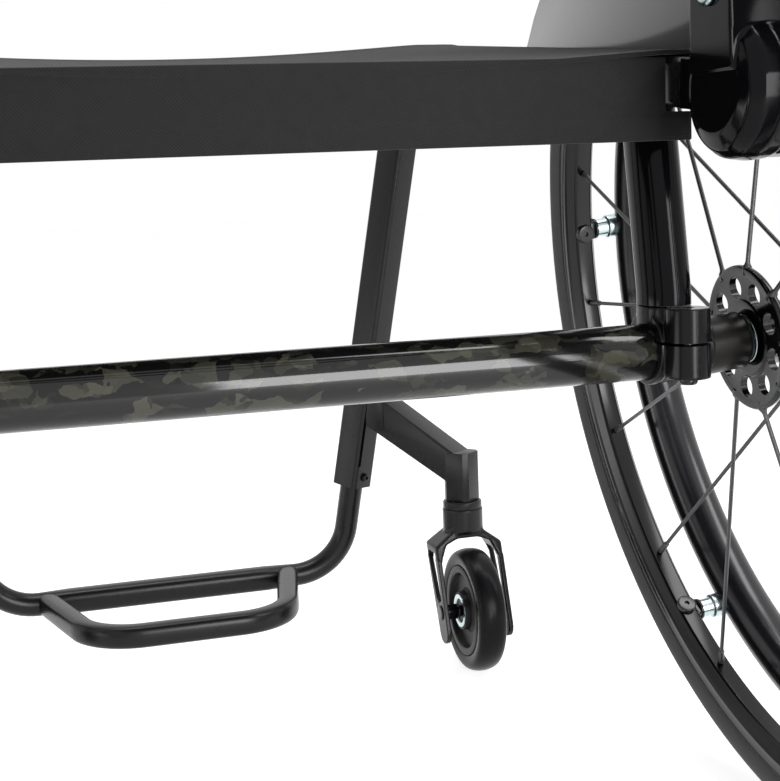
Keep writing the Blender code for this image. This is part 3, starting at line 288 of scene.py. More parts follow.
def copy_of_solid(node):
    """A welded copy of a plain solid, with its flat faces whole again."""
    copy = take(twin_of(frame["nodes"][node]))
    bpy.ops.object.parent_clear(type="CLEAR_KEEP_TRANSFORM")
    weld(copy)
    open_up(copy)
    bpy.ops.mesh.dissolve_limited(angle_limit=radians(0.5))
    close_up()
    return copy


# %% [markdown]
# ## Shader maths
# A finish is built from nodes. Wrapping a socket in a small class lets Python's own + - * > write
# the Math nodes, and one method adds any other node: its settings first, then its sockets.

# %% Finishes
class Field:
    """One varying number or colour of a finish."""

    def __init__(self, tree, socket):
        self.tree = tree
        self.socket = socket

    def maths(self, operation, first, second):
        node = self.tree.nodes.new("ShaderNodeMath")
        node.operation = operation
        for slot, value in zip(node.inputs, (first, second)):
            if isinstance(value, Field):
                self.tree.links.new(value.socket, slot)
            else:
                slot.default_value = value
        return Field(self.tree, node.outputs[0])

    def __add__(self, other):
        return self.maths("ADD", self, other)

    def __sub__(self, other):
        return self.maths("SUBTRACT", self, other)

    def __mul__(self, other):
        return self.maths("MULTIPLY", self, other)

    def __gt__(self, other):
        return self.maths("GREATER_THAN", self, other)


def times(colour, factor, lift=0.0):
    """A colour made lighter or darker, as a socket's four numbers."""
    return (*(channel * factor + lift for channel in colour), 1)


class Finish:
    """A material with one Principled shader, and the nodes that feed it."""

    def __init__(self, name, colour, roughness, **plain):
        self.material = bpy.data.materials.new(name)
        self.material.use_nodes = True
        self.tree = self.material.node_tree
        self.shader = self.tree.nodes["Principled BSDF"]
        self.shader.inputs["Base Color"].default_value = (*colour, 1)
        self.shader.inputs["Roughness"].default_value = roughness
        for key, value in plain.items():
            socket = key.replace("_", " ").title().replace("Ior", "IOR")
            self.shader.inputs[socket].default_value = value

    def node(self, kind, sockets=(), output=0, **settings):
        node = self.tree.nodes.new(kind)
        for key, value in settings.items():
            setattr(node, key, value)
        for key, value in dict(sockets).items():
            if isinstance(value, Field):
                self.tree.links.new(value.socket, node.inputs[key])
            else:
                node.inputs[key].default_value = value
        return Field(self.tree, node.outputs[output])

    def place(self, stretch=(1, 1, 1), turned_by=(0, 0, 0)):
        """The point on the object itself, stretched and turned."""
        here = self.node("ShaderNodeTexCoord", output="Object")
        sockets = {"Vector": here, "Scale": stretch, "Rotation": turned_by}
        return self.node("ShaderNodeMapping", sockets)

    def noise(self, scale, detail=2.0, output="Fac"):
        sockets = {"Vector": self.place(), "Scale": scale, "Detail": detail}
        return self.node("ShaderNodeTexNoise", sockets, output)

    def blend(self, share, first, second):
        """Mix two colours."""
        sockets = {0: share, 6: first, 7: second}
        return self.node("ShaderNodeMix", sockets, 2, data_type="RGBA")

    def feed(self, socket, field):
        self.tree.links.new(field.socket, self.shader.inputs[socket])

    def bump(self, height, distance, strength=1.0):
        sockets = {"Height": height, "Distance": distance, "Strength": strength}
        self.feed("Normal", self.node("ShaderNodeBump", sockets))


finishes = {}

# %% [markdown]
# ## Chopped carbon
# The tube across the chair is moulded from short flat bundles of carbon, under a thick clear
# lacquer, and each bundle throws back the light differently. A Voronoi texture gives each one a
# shade of black or olive grey, and bending its coordinates with noise makes the bundles ragged.

# %% Chopped carbon
lacquer = {"coat_weight": 1.0, "coat_roughness": 0.09, "coat_ior": 1.45}
carbon = Finish("chopped_carbon", (0.016, 0.016, 0.015), 0.32, ior=1.1, **lacquer)
here = carbon.place((0.55, 1, 1), (0.4, 0.2, 0.7))
ragged = {0: carbon.noise(90, 2, "Color"), 1: (0.01, 0.01, 0.01), 2: here}
bent = carbon.node("ShaderNodeVectorMath", ragged, operation="MULTIPLY_ADD")
shades = []
for scale in (105, 190):
    bundle = carbon.node("ShaderNodeTexVoronoi", {"Vector": bent, "Scale": scale}, "Color")
    shades.append(carbon.node("ShaderNodeSeparateColor", {"Color": bundle}))
share = shades[0] * 0.65 + shades[1] * 0.35
light = carbon.node("ShaderNodeClamp", {"Value": (share - 0.52) * 2.6})
black, olive = (0.004, 0.004, 0.004, 1), (0.062, 0.061, 0.045, 1)
carbon.feed("Base Color", carbon.blend(light, black, olive))
carbon.feed("Roughness", light * -0.2 + 0.42)
finishes["forged_carbon"] = carbon.material

# %% [markdown]
# ## Powder coat and gloss lacquer
# The frame is powder coated: a satin black skin with a very fine pebbled surface. The struts and
# the hinge forgings are lacquered glossy black. Real coats vary a little in sheen where hands rub
# them, so noise moves the roughness.

# %% Coats
def coated(name, colour, roughness, pebble, swing, ior):
    made = Finish(name, colour, roughness, ior=ior)
    rubbed = made.noise(35, 3)
    made.feed("Roughness", rubbed * swing + (roughness - swing / 2))
    made.feed("Base Color", made.blend(made.noise(12, 4), (*colour, 1), times(colour, 1.25, 0.002)))
    made.bump(made.noise(1700, 2), pebble)
    return made.material


for slot, name, *numbers in (
    ("satin_frame", "satin_powder", (0.009, 0.009, 0.01), 0.27, 0.00004, 0.08, 1.34),
    ("gloss_frame", "gloss_black", (0.002, 0.002, 0.003), 0.1, 0.00001, 0.05, 1.21),
    ("handrim_black", "handrim_gloss", (0.006, 0.006, 0.008), 0.22, 0.00001, 0.06, 1.5),
    ("black_plastic", "moulded_black", (0.005, 0.005, 0.006), 0.42, 0.00005, 0.1, 1.36),
    ("caster_rubber", "caster_compound", (0.006, 0.006, 0.007), 0.27, 0.00003, 0.06, 1.22),
    ("forged_black", "forged_black", (0.005, 0.005, 0.006), 0.19, 0.00002, 0.08, 1.26),
):
    finishes[slot] = coated(name, *numbers)

# %% [markdown]
# ## Anodised and plated metal
# Hubs and rims are dyed black, the camber plugs and spokes are left grey, and screws and standoffs
# are zinc plated, a slightly blue silver. Turning leaves a faint ripple.

# %% Metals
def metal(name, colour, roughness, metallic, ripple, **plain):
    made = Finish(name, colour, roughness, metallic=metallic, **plain)
    stains = made.noise(60, 4)
    made.feed("Roughness", stains * roughness * 0.3 + roughness * 0.85)
    made.feed("Base Color", made.blend(stains, times(colour, 0.8), (*colour, 1)))
    made.bump(made.noise(900, 3), ripple)
    return made.material


for slot, name, *numbers, plain in (
    ("grey_barrel", "grey_anodised", (0.017, 0.016, 0.015), 0.3, 0.5, 0.00002, {"ior": 1.3}),
    ("black_anodised", "black_anodised", (0.004, 0.004, 0.005), 0.12, 0.1, 0.00001, {"ior": 1.42}),
    ("rim_black", "rim_anodised", (0.003, 0.003, 0.004), 0.18, 0.1, 0.00001, {"ior": 1.42}),
    ("steel", "zinc_plate", (0.6, 0.71, 0.73), 0.24, 1.0, 0.00002, {}),
    ("spoke_grey", "spoke_grey", (0.085, 0.085, 0.088), 0.34, 0.5, 0.00001, {}),
):
    finishes[slot] = metal(name, *numbers, **plain)

# %% [markdown]
# ## Tyre rubber
# The tyre is a hard grey-black compound that has picked up dust: nearly matt, with a fine grain.
# The caster tyre is softer and smoother, so it has a coat's finish.

# %% Tyre rubber
RUBBER = (0.096, 0.096, 0.097)
compound = Finish("tyre_compound", RUBBER, 0.66, specular_ior_level=0.35)
dust = compound.noise(28, 5)
compound.feed("Base Color", compound.blend(dust, (*RUBBER, 1), times(RUBBER, 1.5, 0.008)))
compound.feed("Roughness", dust * 0.12 + 0.6)
compound.bump(compound.noise(900, 4), 0.00012)
finishes["tyre_rubber"] = compound.material

# %% [markdown]
# ## Cloth
# The seat and back are a tight plain weave of dark grey yarn. Two waves at right angles give the
# over and under of the weave. The side guards are the same weave under a clear coat.

# %% Woven cloth
def woven(name, colour, pitch, roughness=0.9, **coat):
    fuzz = {"specular_ior_level": 0.25, "sheen_weight": 0.12, "sheen_roughness": 0.5}
    made = Finish(name, colour, roughness, **fuzz, **coat)
    turns = tau / (2 * pitch)
    across, along, upward = (
        made.node("ShaderNodeSeparateXYZ", {"Vector": made.place()}, axis) for axis in "XYZ"
    )
    warp = across.maths("SINE", across * turns, 0.0)
    weft = across.maths("SINE", (along + upward) * turns, 0.0)
    yarn = warp * weft * 0.5 + 0.5
    lint = made.noise(140, 4)
    shade = yarn * 0.6 + lint * 0.4
    made.feed("Base Color", made.blend(shade, times(colour, 0.65), times(colour, 1.7)))
    made.bump(yarn + lint * 0.5, 0.00012, 0.7)
    return made.material


clear = {"coat_weight": 1.0, "coat_roughness": 0.08}
finishes["seat_fabric"] = woven("woven_grey", (0.014, 0.014, 0.0145), 0.0009)
finishes["guard_panel"] = woven("laminate", (0.014, 0.014, 0.015), 0.0013, 0.35, **clear)
print("finishes:", len(finishes))

# %% [markdown]
# ## Handing a piece over
# A finished piece gets its name, its finish, smooth shading and the body that it moves with, and
# the plain solid that it stands for is hidden. Every body but the frame and the backrest comes in
# pairs, as most pieces do.

# %% Hand over
def dress(obj, name, body, slot, solid, crease=35, finish=None):
    take(obj)
    obj.name = name
    obj.data.name = name
    obj.data.materials.clear()
    obj.data.materials.append(finishes[finish or slot])
    bpy.ops.object.shade_smooth_by_angle(angle=radians(crease))
    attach(obj, body)
    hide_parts(solid)
    print(f"{name}: {sum(len(face.vertices) - 2 for face in obj.data.polygons)} triangles")


def dress_pair(obj, name, body, slot, solid, crease=35, finish=None):
    for side, piece in (("left", obj), ("right", mirrored(obj))):
        mover = body if body in ("frame", "backrest") else f"{body}_{side}"
        dress(piece, f"{name}_{side}", mover, slot, f"{solid}_{side}", crease, finish)


# %% [markdown]
# ## Where things are
# A reach is a distance ahead of the axle. A wheel leans in at the top by its camber, so its pieces
# are built flat about Z and then set on that axis by one matrix. Pieces on the axle tube are set
# across the chair in the same way.

# %% Main places
AXLE_Y = 0.09607504245162762
WHEEL_Z = 0.30323357947064006
TUBE_Z = 0.2966095178016909
WHEEL_OFFSET = 0.28
CAMBER = radians(6.3)
GAP = 0.0003
SEAT_ANGLE = radians(5.65)
RAIL_X = 0.2075
RAIL_REAR_REACH = -0.03
RAIL_REAR_Z = 0.4333
FRAME_WIDTH = 0.0235
FRAME_DEPTH = 0.025

ON_WHEEL = shift((WHEEL_OFFSET, AXLE_Y, WHEEL_Z)) @ turn(QUARTER - CAMBER, "Y")
ON_TUBE = shift((0, AXLE_Y, TUBE_Z)) @ turn(QUARTER, "Y")


def at(x, reach, z):
    """A point at a sideways place, a reach and a height."""
    return Vector((x, AXLE_Y - reach, z))


def rail_z(reach):
    return RAIL_REAR_Z + (reach - RAIL_REAR_REACH) * tan(SEAT_ANGLE)


def round_wheel(angle, radius, z=0.0):
    """A point in a wheel's own frame, at an angle from straight ahead towards up."""
    return Vector((-sin(angle) * radius, -cos(angle) * radius, z))


def oval(width, depth, steps=48):
    angles = [tau * i / steps for i in range(steps)]
    return [(width / 2 * cos(angle), depth / 2 * sin(angle)) for angle in angles]


def and_back(half):
    """A half profile, and its mirror image on the way back."""
    return half + [(r, -z) for r, z in reversed(half)]


# %% [markdown]
# ## Tyre
# A narrow high-pressure tyre: a round section with two shallow grooves beside its crown, open
# where the rim holds it. It is spun from a profile, which keeps the grooves exact.

# %% Tyre
WHEEL_RADIUS = 0.305
TYRE_SECTION = 0.0125
TYRE_SEAT = 0.2845
GROOVES = (radians(18), radians(30))
GROOVE_HALF = radians(2.1)
GROOVE_DEPTH = 0.0006
tyre_centre = WHEEL_RADIUS - TYRE_SECTION
tyre_profile = []
tyre_start = pi - acos((tyre_centre - TYRE_SEAT) / TYRE_SECTION)
for i in range(65):
    angle = tyre_start * (1 - i / 32)
    groove = min(abs(abs(angle) - middle) for middle in GROOVES) < GROOVE_HALF
    section = TYRE_SECTION - (GROOVE_DEPTH if groove else 0)
    tyre_profile.append((tyre_centre + section * cos(angle), section * sin(angle)))
tyre = settle(turned(tyre_profile, 144, closed=True), ON_WHEEL)
dress_pair(tyre, "tyre_tread", "wheel", "tyre_rubber", "tyre")

# %% [markdown]
# ## Rim
# A deep aluminium extrusion rolled into a hoop. Each side has a rolled lip under the tyre, a
# machined line, a flat wall, and then slopes in to the bed where the spokes are held.

# %% Rim
RIM_OUTER = 0.2842
RIM_WALL = 0.0105
RIM_BED = 0.2665
drops = (
    (0, 0.0075), (0, RIM_WALL - 0.0003), (0.0012, RIM_WALL), (0.0016, RIM_WALL - 0.0006),
    (0.0082, RIM_WALL - 0.0006), (0.0086, RIM_WALL - 0.0001), (0.0094, RIM_WALL - 0.0001),
    (0.0106, RIM_WALL - 0.0012),
)
bed = [(RIM_BED + 0.0012, 0.0062), (RIM_BED, 0.0048)]
half_rim = [(RIM_OUTER - depth, z) for depth, z in drops] + bed
rim = settle(turned(and_back(half_rim), 144, True, 0.0003, 2), ON_WHEEL)
dress_pair(rim, "rim_hoop", "wheel", "rim_black", "rim", 30)

# %% [markdown]
# ## Handrim and its standoffs
# The handrim is a broad glossy hoop that the rider pushes. Six zinc spacers hold it off the rim:
# each has a dark lug over the rim's wall, and a screw that comes up through the rim's bed.

# %% Handrim
HANDRIM_RADIUS = 0.2653
HANDRIM_OFFSET = 0.0401
HANDRIM_SECTION = 0.0152
section = oval(2 * HANDRIM_SECTION, 2 * HANDRIM_SECTION, 32)
hoop = turned([(HANDRIM_RADIUS + x, HANDRIM_OFFSET + y) for x, y in section], 144, closed=True)
dress_pair(settle(hoop, ON_WHEEL), "handrim_hoop", "wheel", "handrim_black", "handrim")

# %% [markdown]
# One of each is modelled at the forward point of the rim, and copies are turned round the hub. The
# spacer is stepped: narrow where it shows, and wider inside the handrim.

# %% Spacers
STANDOFFS = 6
STANDOFF_START = radians(9.7)
SPACER_R = 0.0062
SPACER_LOW, SPACER_STEP, SPACER_HIGH = 0.0122, 0.0206, 0.0318
spacer_place = RIM_OUTER - 0.0085
on_rim = shift(round_wheel(0, spacer_place))


def round_rim(obj):
    """Six copies of a fitting, one at each standoff of the wheel."""
    angles = [-STANDOFF_START - tau * i / STANDOFFS for i in range(STANDOFFS)]
    copies = [twin_of(obj, turn(angle, "Z")) for angle in angles]
    drop(obj)
    return settle(merged(copies), ON_WHEEL)


spacer_profile = [
    (0, SPACER_LOW), (SPACER_R, SPACER_LOW), (SPACER_R, SPACER_STEP),
    (SPACER_R + 0.0018, SPACER_STEP + 0.0004), (SPACER_R + 0.0018, SPACER_HIGH), (0, SPACER_HIGH),
]
spacer = settle(turned(spacer_profile, 32, ease=0.0006), on_rim)
dress_pair(round_rim(spacer), "handrim_standoffs", "wheel", "steel", "handrim")

# %% Lugs and screws under the standoffs
lug = bevel(block((0.013, 0.0085, 0.006), shift((0, -(spacer_place - 0.001), 0.0085))), 0.002)
carve(lug, bevel(rod(0.0072, 0.0106, 0.0128, 32, on_rim), 0.0008, 2), "UNION")
screw = turned([(0, 0.003), (0.006, 0.003), (0.0066, 0.0), (0, 0.0)], 32, ease=0.0008)
carve(screw, rod(0.0019, 0.0014, 0.01, 6))
settle(screw, shift(round_wheel(0, RIM_BED - 0.0001)) @ turn(-QUARTER, "X"))
lugs = round_rim(merged([lug, screw]))
dress_pair(lugs, "standoff_lugs", "wheel", "handrim_black", "handrim")

# %% [markdown]
# ## Hub
# Two large glossy flanges stand on a narrow barrel. Each is dished and has nine round windows, so
# that light shows through it. The bore stays open for the axle.

# %% Hub
HUB_HALF = 0.0313
FLANGE_RADIUS = 0.0394
FLANGE = 0.0045
WINDOWS = 9
WINDOW_CIRCLE = 0.0275
WINDOW_R = 0.006
SPOKES = 18
SPOKE_START = radians(19.0)
AXLE_R = 0.0062
BORE_R = 0.0066
flange_in = HUB_HALF - FLANGE
half_hub = [
    (0.0168, 0.0), (0.0165, flange_in - 0.008), (0.0195, flange_in - 0.0012),
    (0.033, flange_in), (0.0382, flange_in - 0.0004), (FLANGE_RADIUS, flange_in + 0.001),
    (FLANGE_RADIUS, HUB_HALF - 0.0012), (0.0382, HUB_HALF), (0.034, HUB_HALF - 0.0006),
    (0.0215, HUB_HALF - 0.001), (0.0205, HUB_HALF), (0.0134, HUB_HALF),
    (0.0134, HUB_HALF - 0.0083), (BORE_R, HUB_HALF - 0.0083),
]
hub_profile = [(r, -z) for r, z in reversed(half_hub)] + half_hub[1:]
hub = turned(hub_profile, 96, True, 0.0008, 2)
for i in range(WINDOWS):
    angle = SPOKE_START + tau * (i + 0.5) / WINDOWS
    carve(hub, rod(WINDOW_R, -0.1, 0.1, 24, shift(round_wheel(angle, WINDOW_CIRCLE))))
dress_pair(
    settle(hub, ON_WHEEL), "hub_shell", "wheel", "black_anodised", "hub_and_spokes", 30
)

# %% [markdown]
# ## Spokes
# Straight-pull spokes: a thick head sits in the flange, and a nipple holds the wire at the rim.
# Even spokes start at the inner flange and odd ones at the outer, and all of them end on the rim's
# middle line.

# %% Spokes
WIRE_R = 0.00125


def spoke_line(i):
    angle = SPOKE_START + tau * i / SPOKES
    flange = -1 if i % 2 == 0 else 1
    foot = round_wheel(angle, 0.0345, flange * (HUB_HALF - FLANGE / 2))
    return foot, round_wheel(angle, RIM_BED + 0.0006)


foot, tip = spoke_line(0)
long = (tip - foot).length
spoke_profile = [
    (0, 0), (0.0026, 0.0001), (0.0027, 0.004), (0.0024, 0.005), (0.0016, 0.0062),
    (WIRE_R, 0.0078), (WIRE_R, long - 0.013), (0.0019, long - 0.0125),
    (0.0021, long - 0.002), (0, long),
]
one_spoke = turned(spoke_profile, 10)
spokes = []
for i in range(SPOKES):
    foot, tip = spoke_line(i)
    lean = (tip - foot).to_track_quat("Z", "Y").to_matrix().to_4x4()
    spokes.append(twin_of(one_spoke, shift(foot) @ lean))
drop(one_spoke)
spokes = settle(merged(spokes), ON_WHEEL)
dress_pair(spokes, "spokes", "wheel", "black_anodised", "hub_and_spokes", finish="spoke_grey")

# %% [markdown]
# ## Bearing, quick-release axle and its button
# The axle pin runs through the hub into the camber plug. Its knurled head stands outside the hub
# with a push button in the middle.

# %% Axle fittings
bearing_profile = [
    (0.013, -HUB_HALF + 0.008), (0.013, -HUB_HALF), (0.0112, -HUB_HALF),
    (0.0108, -HUB_HALF + 0.0006), (0.0084, -HUB_HALF + 0.0006), (0.008, -HUB_HALF),
    (BORE_R, -HUB_HALF), (BORE_R, -HUB_HALF + 0.008),
]
bearing = settle(turned(bearing_profile, 64, True, 0.0002, 1), ON_WHEEL)
dress_pair(bearing, "bearing_ring", "wheel", "steel", "hub_bearing")

HEAD_LOW = HUB_HALF + GAP
HEAD_HIGH = HEAD_LOW + 0.006
HEAD_R = 0.0125
KNURLS = 24
BUTTON_R = 0.0045
pin_profile = [
    (0, 0.0235), (BUTTON_R + 0.0004, 0.0235), (BUTTON_R + 0.0004, HEAD_HIGH - 0.0006),
    (AXLE_R, HEAD_HIGH), (0.0112, HEAD_HIGH), (HEAD_R, HEAD_HIGH - 0.0014), (HEAD_R, HEAD_LOW),
    (AXLE_R, HEAD_LOW), (AXLE_R, -HUB_HALF - 0.0435), (AXLE_R - 0.001, -HUB_HALF - 0.045),
    (0, -HUB_HALF - 0.045),
]
pin = turned(pin_profile, 48, False, 0.0003, 2)
for i in range(KNURLS):
    notch = shift(round_wheel(tau * i / KNURLS, HEAD_R + 0.0001))
    carve(pin, rod(0.0006, HEAD_LOW + 0.001, HEAD_HIGH - 0.001, 6, notch))
dress_pair(settle(pin, ON_WHEEL), "axle_pin", "axle", "steel", "quick_release_axle")

top = HEAD_HIGH + 0.004
button_profile = [
    (0, top - 0.0006), (0.0034, top), (BUTTON_R, top - 0.0008), (BUTTON_R, top - 0.01),
    (0, top - 0.01),
]
button = settle(turned(button_profile, 32, ease=0.0004), ON_WHEEL)
dress_pair(button, "axle_button", "button", "steel", "release_button")

# %% [markdown]
# ## Axle tube
# The moulded tube runs right across the chair between the two clamps. Its wall shows only at the
# ends, so a closed ring of wall section is spun, with its edges broken.

# %% Axle tube
TUBE_R = 0.0148
TUBE_BORE = TUBE_R - 0.0025
CLAMP_INNER = 0.1905
CLAMP_OUTER = 0.2215
end = CLAMP_OUTER - GAP
wall = [(TUBE_R, -end), (TUBE_R, end), (TUBE_BORE, end), (TUBE_BORE, -end)]
axle_tube = settle(turned(wall, 96, True, 0.0006), ON_TUBE)
dress(axle_tube, "carbon_axle_tube", "frame", "forged_carbon", "axle_tube")

# %% [markdown]
# ## Split clamp
# A forged clamp grips each end of the tube, with a raised lip on its inner side. A barrel behind it
# takes the pinch bolt, a slit lets it close, and an oval boss carries the strut. It is joined from
# rods and remeshed, and only then bored and slit, because machined edges stay sharp.

# %% Clamp
CLAMP_R = 0.019
CLAMP_LIFT = 0.0022
LIP_HEIGHT = 0.0006
LIP_WIDTH = 0.0042
BARREL_R = 0.0115
BARREL_HALF = 0.0182
BARREL_LIFT = 0.006
STRUT_X = 0.2015
STRUT_WIDTH = 0.0265
STRUT_DEPTH = 0.035
SLIT = 0.0015
barrel_at = at(0.2035, -0.0225, TUBE_Z + BARREL_LIFT)
lifted = shift((0, 0, CLAMP_LIFT)) @ ON_TUBE
clamp = rod(CLAMP_R, CLAMP_INNER, CLAMP_OUTER, 96, lifted)
boss_ends = [at(STRUT_X, 0, TUBE_Z + 0.008), at(STRUT_X, 0, TUBE_Z + 0.0243)]
carve(clamp, swept(boss_ends, oval(STRUT_WIDTH, STRUT_DEPTH)), "UNION")
lip = rod(CLAMP_R + LIP_HEIGHT, CLAMP_INNER - 0.0004, CLAMP_INNER + LIP_WIDTH, 96, lifted)
carve(clamp, lip, "UNION")
carve(clamp, rod(BARREL_R, -BARREL_HALF, BARREL_HALF, 64, shift(barrel_at)), "UNION")
forged(clamp, 0.00055, 4, 0.35)
carve(clamp, rod(TUBE_R + GAP, 0.15, 0.25, 96, ON_TUBE))
carve(clamp, block((0.04, 0.06, SLIT), shift((0.206, AXLE_Y + 0.03, TUBE_Z + BARREL_LIFT))))
carve(clamp, rod(0.0033, -0.05, 0.05, 32, shift(barrel_at)))
dress_pair(clamp, "tube_clamp", "frame", "satin_frame", "axle_clamp", 50, "forged_black")

# %% [markdown]
# ## Cap screws
# The same kind of screw holds the clamp, the footrest, the guard and the hinge: a low round head
# with a broken edge and a six-sided socket.

# %% Cap screws
def cap_screw(radius, height, key, shank=0.0, shank_radius=0.0):
    """A screw whose head stands on z = 0, with its shank below."""
    head = [(0, height), (radius * 0.86, height), (radius, height * 0.6), (radius, 0)]
    below = [(shank_radius, 0), (shank_radius, -shank), (0, -shank)] if shank else [(0, 0)]
    made = turned(head + below, 40, ease=min(radius, height) * 0.22)
    return carve(made, rod(key, height * 0.35, height * 2, 6))


clamp_bolt = cap_screw(0.0048, 0.003, 0.0024, 2 * BARREL_HALF, 0.003)
settle(clamp_bolt, shift(barrel_at) @ shift((0, 0, -BARREL_HALF - GAP)) @ turn(pi, "X"))
dress_pair(clamp_bolt, "pinch_bolt", "frame", "black_anodised", "clamp_bolt")

# %% [markdown]
# ## Camber plug
# A turned plug fills the end of the tube and points along the wheel's own axis. It is chamfered at
# the hub and cut off square against the clamp.

# %% Camber plug
PLUG_R = 0.0152
PLUG_START = -0.075
end = -HUB_HALF - 0.001
plug_profile = [
    (BORE_R, PLUG_START), (PLUG_R, PLUG_START), (PLUG_R, end - 0.003),
    (PLUG_R - 0.0016, end - 0.0012), (PLUG_R - 0.0026, end), (BORE_R, end),
]
CUBE = (0.2, 0.2, 0.2)
plug = settle(turned(plug_profile, 80, True, 0.0004, 2), ON_WHEEL)
carve(plug, block(CUBE, shift((CLAMP_OUTER + GAP - 0.1, AXLE_Y, TUBE_Z))))
sleeve = rod(TUBE_BORE - GAP, CLAMP_OUTER - 0.03, CLAMP_OUTER + 0.003, 64, ON_TUBE)
carve(plug, sleeve, "UNION")
carve(plug, rod(0.0065, -0.2, 0.1, 48, ON_WHEEL))
dress_pair(plug, "turned_plug", "frame", "grey_barrel", "camber_plug", 30)

# %% [markdown]
# ## Rear strut
# An oval tube stands on the clamp's boss, bends a little forward, and meets the seat rail from
# below.

# %% Strut
def rounded_path(corners, radius, steps):
    """A path through corner points whose inner corners are arcs of one radius."""
    path = [corners[0]]
    for before, here, after in zip(corners, corners[1:], corners[2:]):
        back = (before - here).normalized()
        onward = (after - here).normalized()
        half = back.angle(onward) / 2
        centre = here + (back + onward).normalized() * radius / sin(half)
        start = here + back * radius / tan(half) - centre
        stop = here + onward * radius / tan(half) - centre
        sweep = start.angle(stop)
        for k in range(steps + 1):
            t = k / steps
            spoke = sin((1 - t) * sweep) * start + sin(t * sweep) * stop
            path.append(centre + spoke / sin(sweep))
    return path + [corners[-1]]


STRUT_TOP = 0.018
strut_foot = TUBE_Z + 0.0245 + GAP
under_rail = rail_z(STRUT_TOP) - FRAME_DEPTH / 2 / cos(SEAT_ANGLE) - GAP
strut_corners = [
    at(STRUT_X, 0, strut_foot),
    at(STRUT_X, 0, strut_foot + 0.006),
    at(STRUT_X, STRUT_TOP, rail_z(STRUT_TOP)),
]
strut = swept(rounded_path(strut_corners, 0.06, 6), oval(STRUT_WIDTH, STRUT_DEPTH))
above = shift(at(STRUT_X, STRUT_TOP, under_rail)) @ turn(-SEAT_ANGLE, "X") @ shift((0, 0, 0.1))
carve(strut, block(CUBE, above))
dress_pair(strut, "oval_strut", "frame", "gloss_frame", "rear_strut")

# %% [markdown]
# ## Side frame
# One square tube with cut corners makes the seat rail, the knee and the front leg, and twists from
# the knee on. The leg is bored and slotted at its foot, where it grips the footrest's stem.

# %% Side frame
KNEE_REACH = 0.444
KNEE_Z = rail_z(KNEE_REACH)
KNEE_RADIUS = 0.06
LEG_FOOT_X = 0.156
LEG_FOOT_REACH = 0.48
LEG_FOOT_Z = 0.139
LEG_TWIST = radians(24)
FOOT_R = 0.0093
CHAMFER = 0.0025
SLOT_LOW, SLOT_HIGH = 0.157, 0.204
RIDGE = turn(radians(33), "Z")


def leg_place(z, side=1):
    """The point of the leg's centre line at a height."""
    share = (KNEE_Z - z) / (KNEE_Z - LEG_FOOT_Z)
    x = RAIL_X + (LEG_FOOT_X - RAIL_X) * share
    return at(side * x, KNEE_REACH + (LEG_FOOT_REACH - KNEE_REACH) * share, z)


def on_leg(z):
    """The frame of a point on the leg's centre line, with +Y out of the leg's rear face."""
    rail = Vector((0, -cos(SEAT_ANGLE), sin(SEAT_ANGLE)))
    under = Vector((0, -sin(SEAT_ANGLE), -cos(SEAT_ANGLE)))
    down = (leg_place(z) - leg_place(z + 1)).normalized()
    rear = rail.rotation_difference(down) @ under
    rear.rotate(Matrix.Rotation(LEG_TWIST, 3, down))
    axes = Matrix((down.cross(rear), rear, -down)).transposed().to_4x4()
    return shift(leg_place(z)) @ axes


a, b = FRAME_WIDTH / 2, FRAME_DEPTH / 2
near, far = a - CHAMFER, b - CHAMFER
half = [(a, -far), (a, far), (near, b), (-near, b)]
corners = half + [(-x, -y) for x, y in half]
frame_section = eased(corners, 0.0012, True)
frame_corners = [
    at(RAIL_X, RAIL_REAR_REACH, rail_z(RAIL_REAR_REACH)),
    at(RAIL_X, KNEE_REACH, KNEE_Z),
    leg_place(LEG_FOOT_Z),
]
frame_path = rounded_path(frame_corners, KNEE_RADIUS, 16)
bend = len(frame_path) - 3
tilts = [LEG_TWIST * min(max(i - 1, 0), bend) / bend for i in range(len(frame_path))]
side_frame = swept(frame_path, frame_section, tilts)
carve(side_frame, rod(FOOT_R + 0.0004, -0.02, 0.031, 64, on_leg(LEG_FOOT_Z)))
slot = bevel(block((0.0024, 0.0125, SLOT_HIGH - SLOT_LOW)), 0.0011)
settle(slot, on_leg((SLOT_LOW + SLOT_HIGH) / 2) @ RIDGE @ shift((0, 0.0125, 0)))
carve(side_frame, slot)
dress_pair(side_frame, "bent_side_frame", "frame", "satin_frame", "side_frame", 30)

# %% [markdown]
# ## Caster arm
# A tapered box reaches out from the leg to a square column that houses the caster's stem. It is a
# copy of the plain solid, because its faces are flat, with a square socket joined on at its root
# and a bevel on its edges.

# %% Caster arm
STEM_X = 0.2263
STEM_REACH = 0.402
ARM_ROOT_Z = 0.2055
SOCKET = (0.0115, 0.0236, 0.0338)
arm = settle(copy_of_solid("caster_arm_left"))
ahead = at(STEM_X, STEM_REACH, 0) - leg_place(ARM_ROOT_Z)
along_arm = shift(leg_place(ARM_ROOT_Z)) @ turn(atan2(ahead.y, ahead.x), "Z")
carve(arm, block(SOCKET, along_arm @ shift((0.0222, 0, 0))), "UNION")
bevel(arm, 0.0007, 3, 28)
dress_pair(arm, "outrigger_arm", "frame", "satin_frame", "caster_arm", 30)

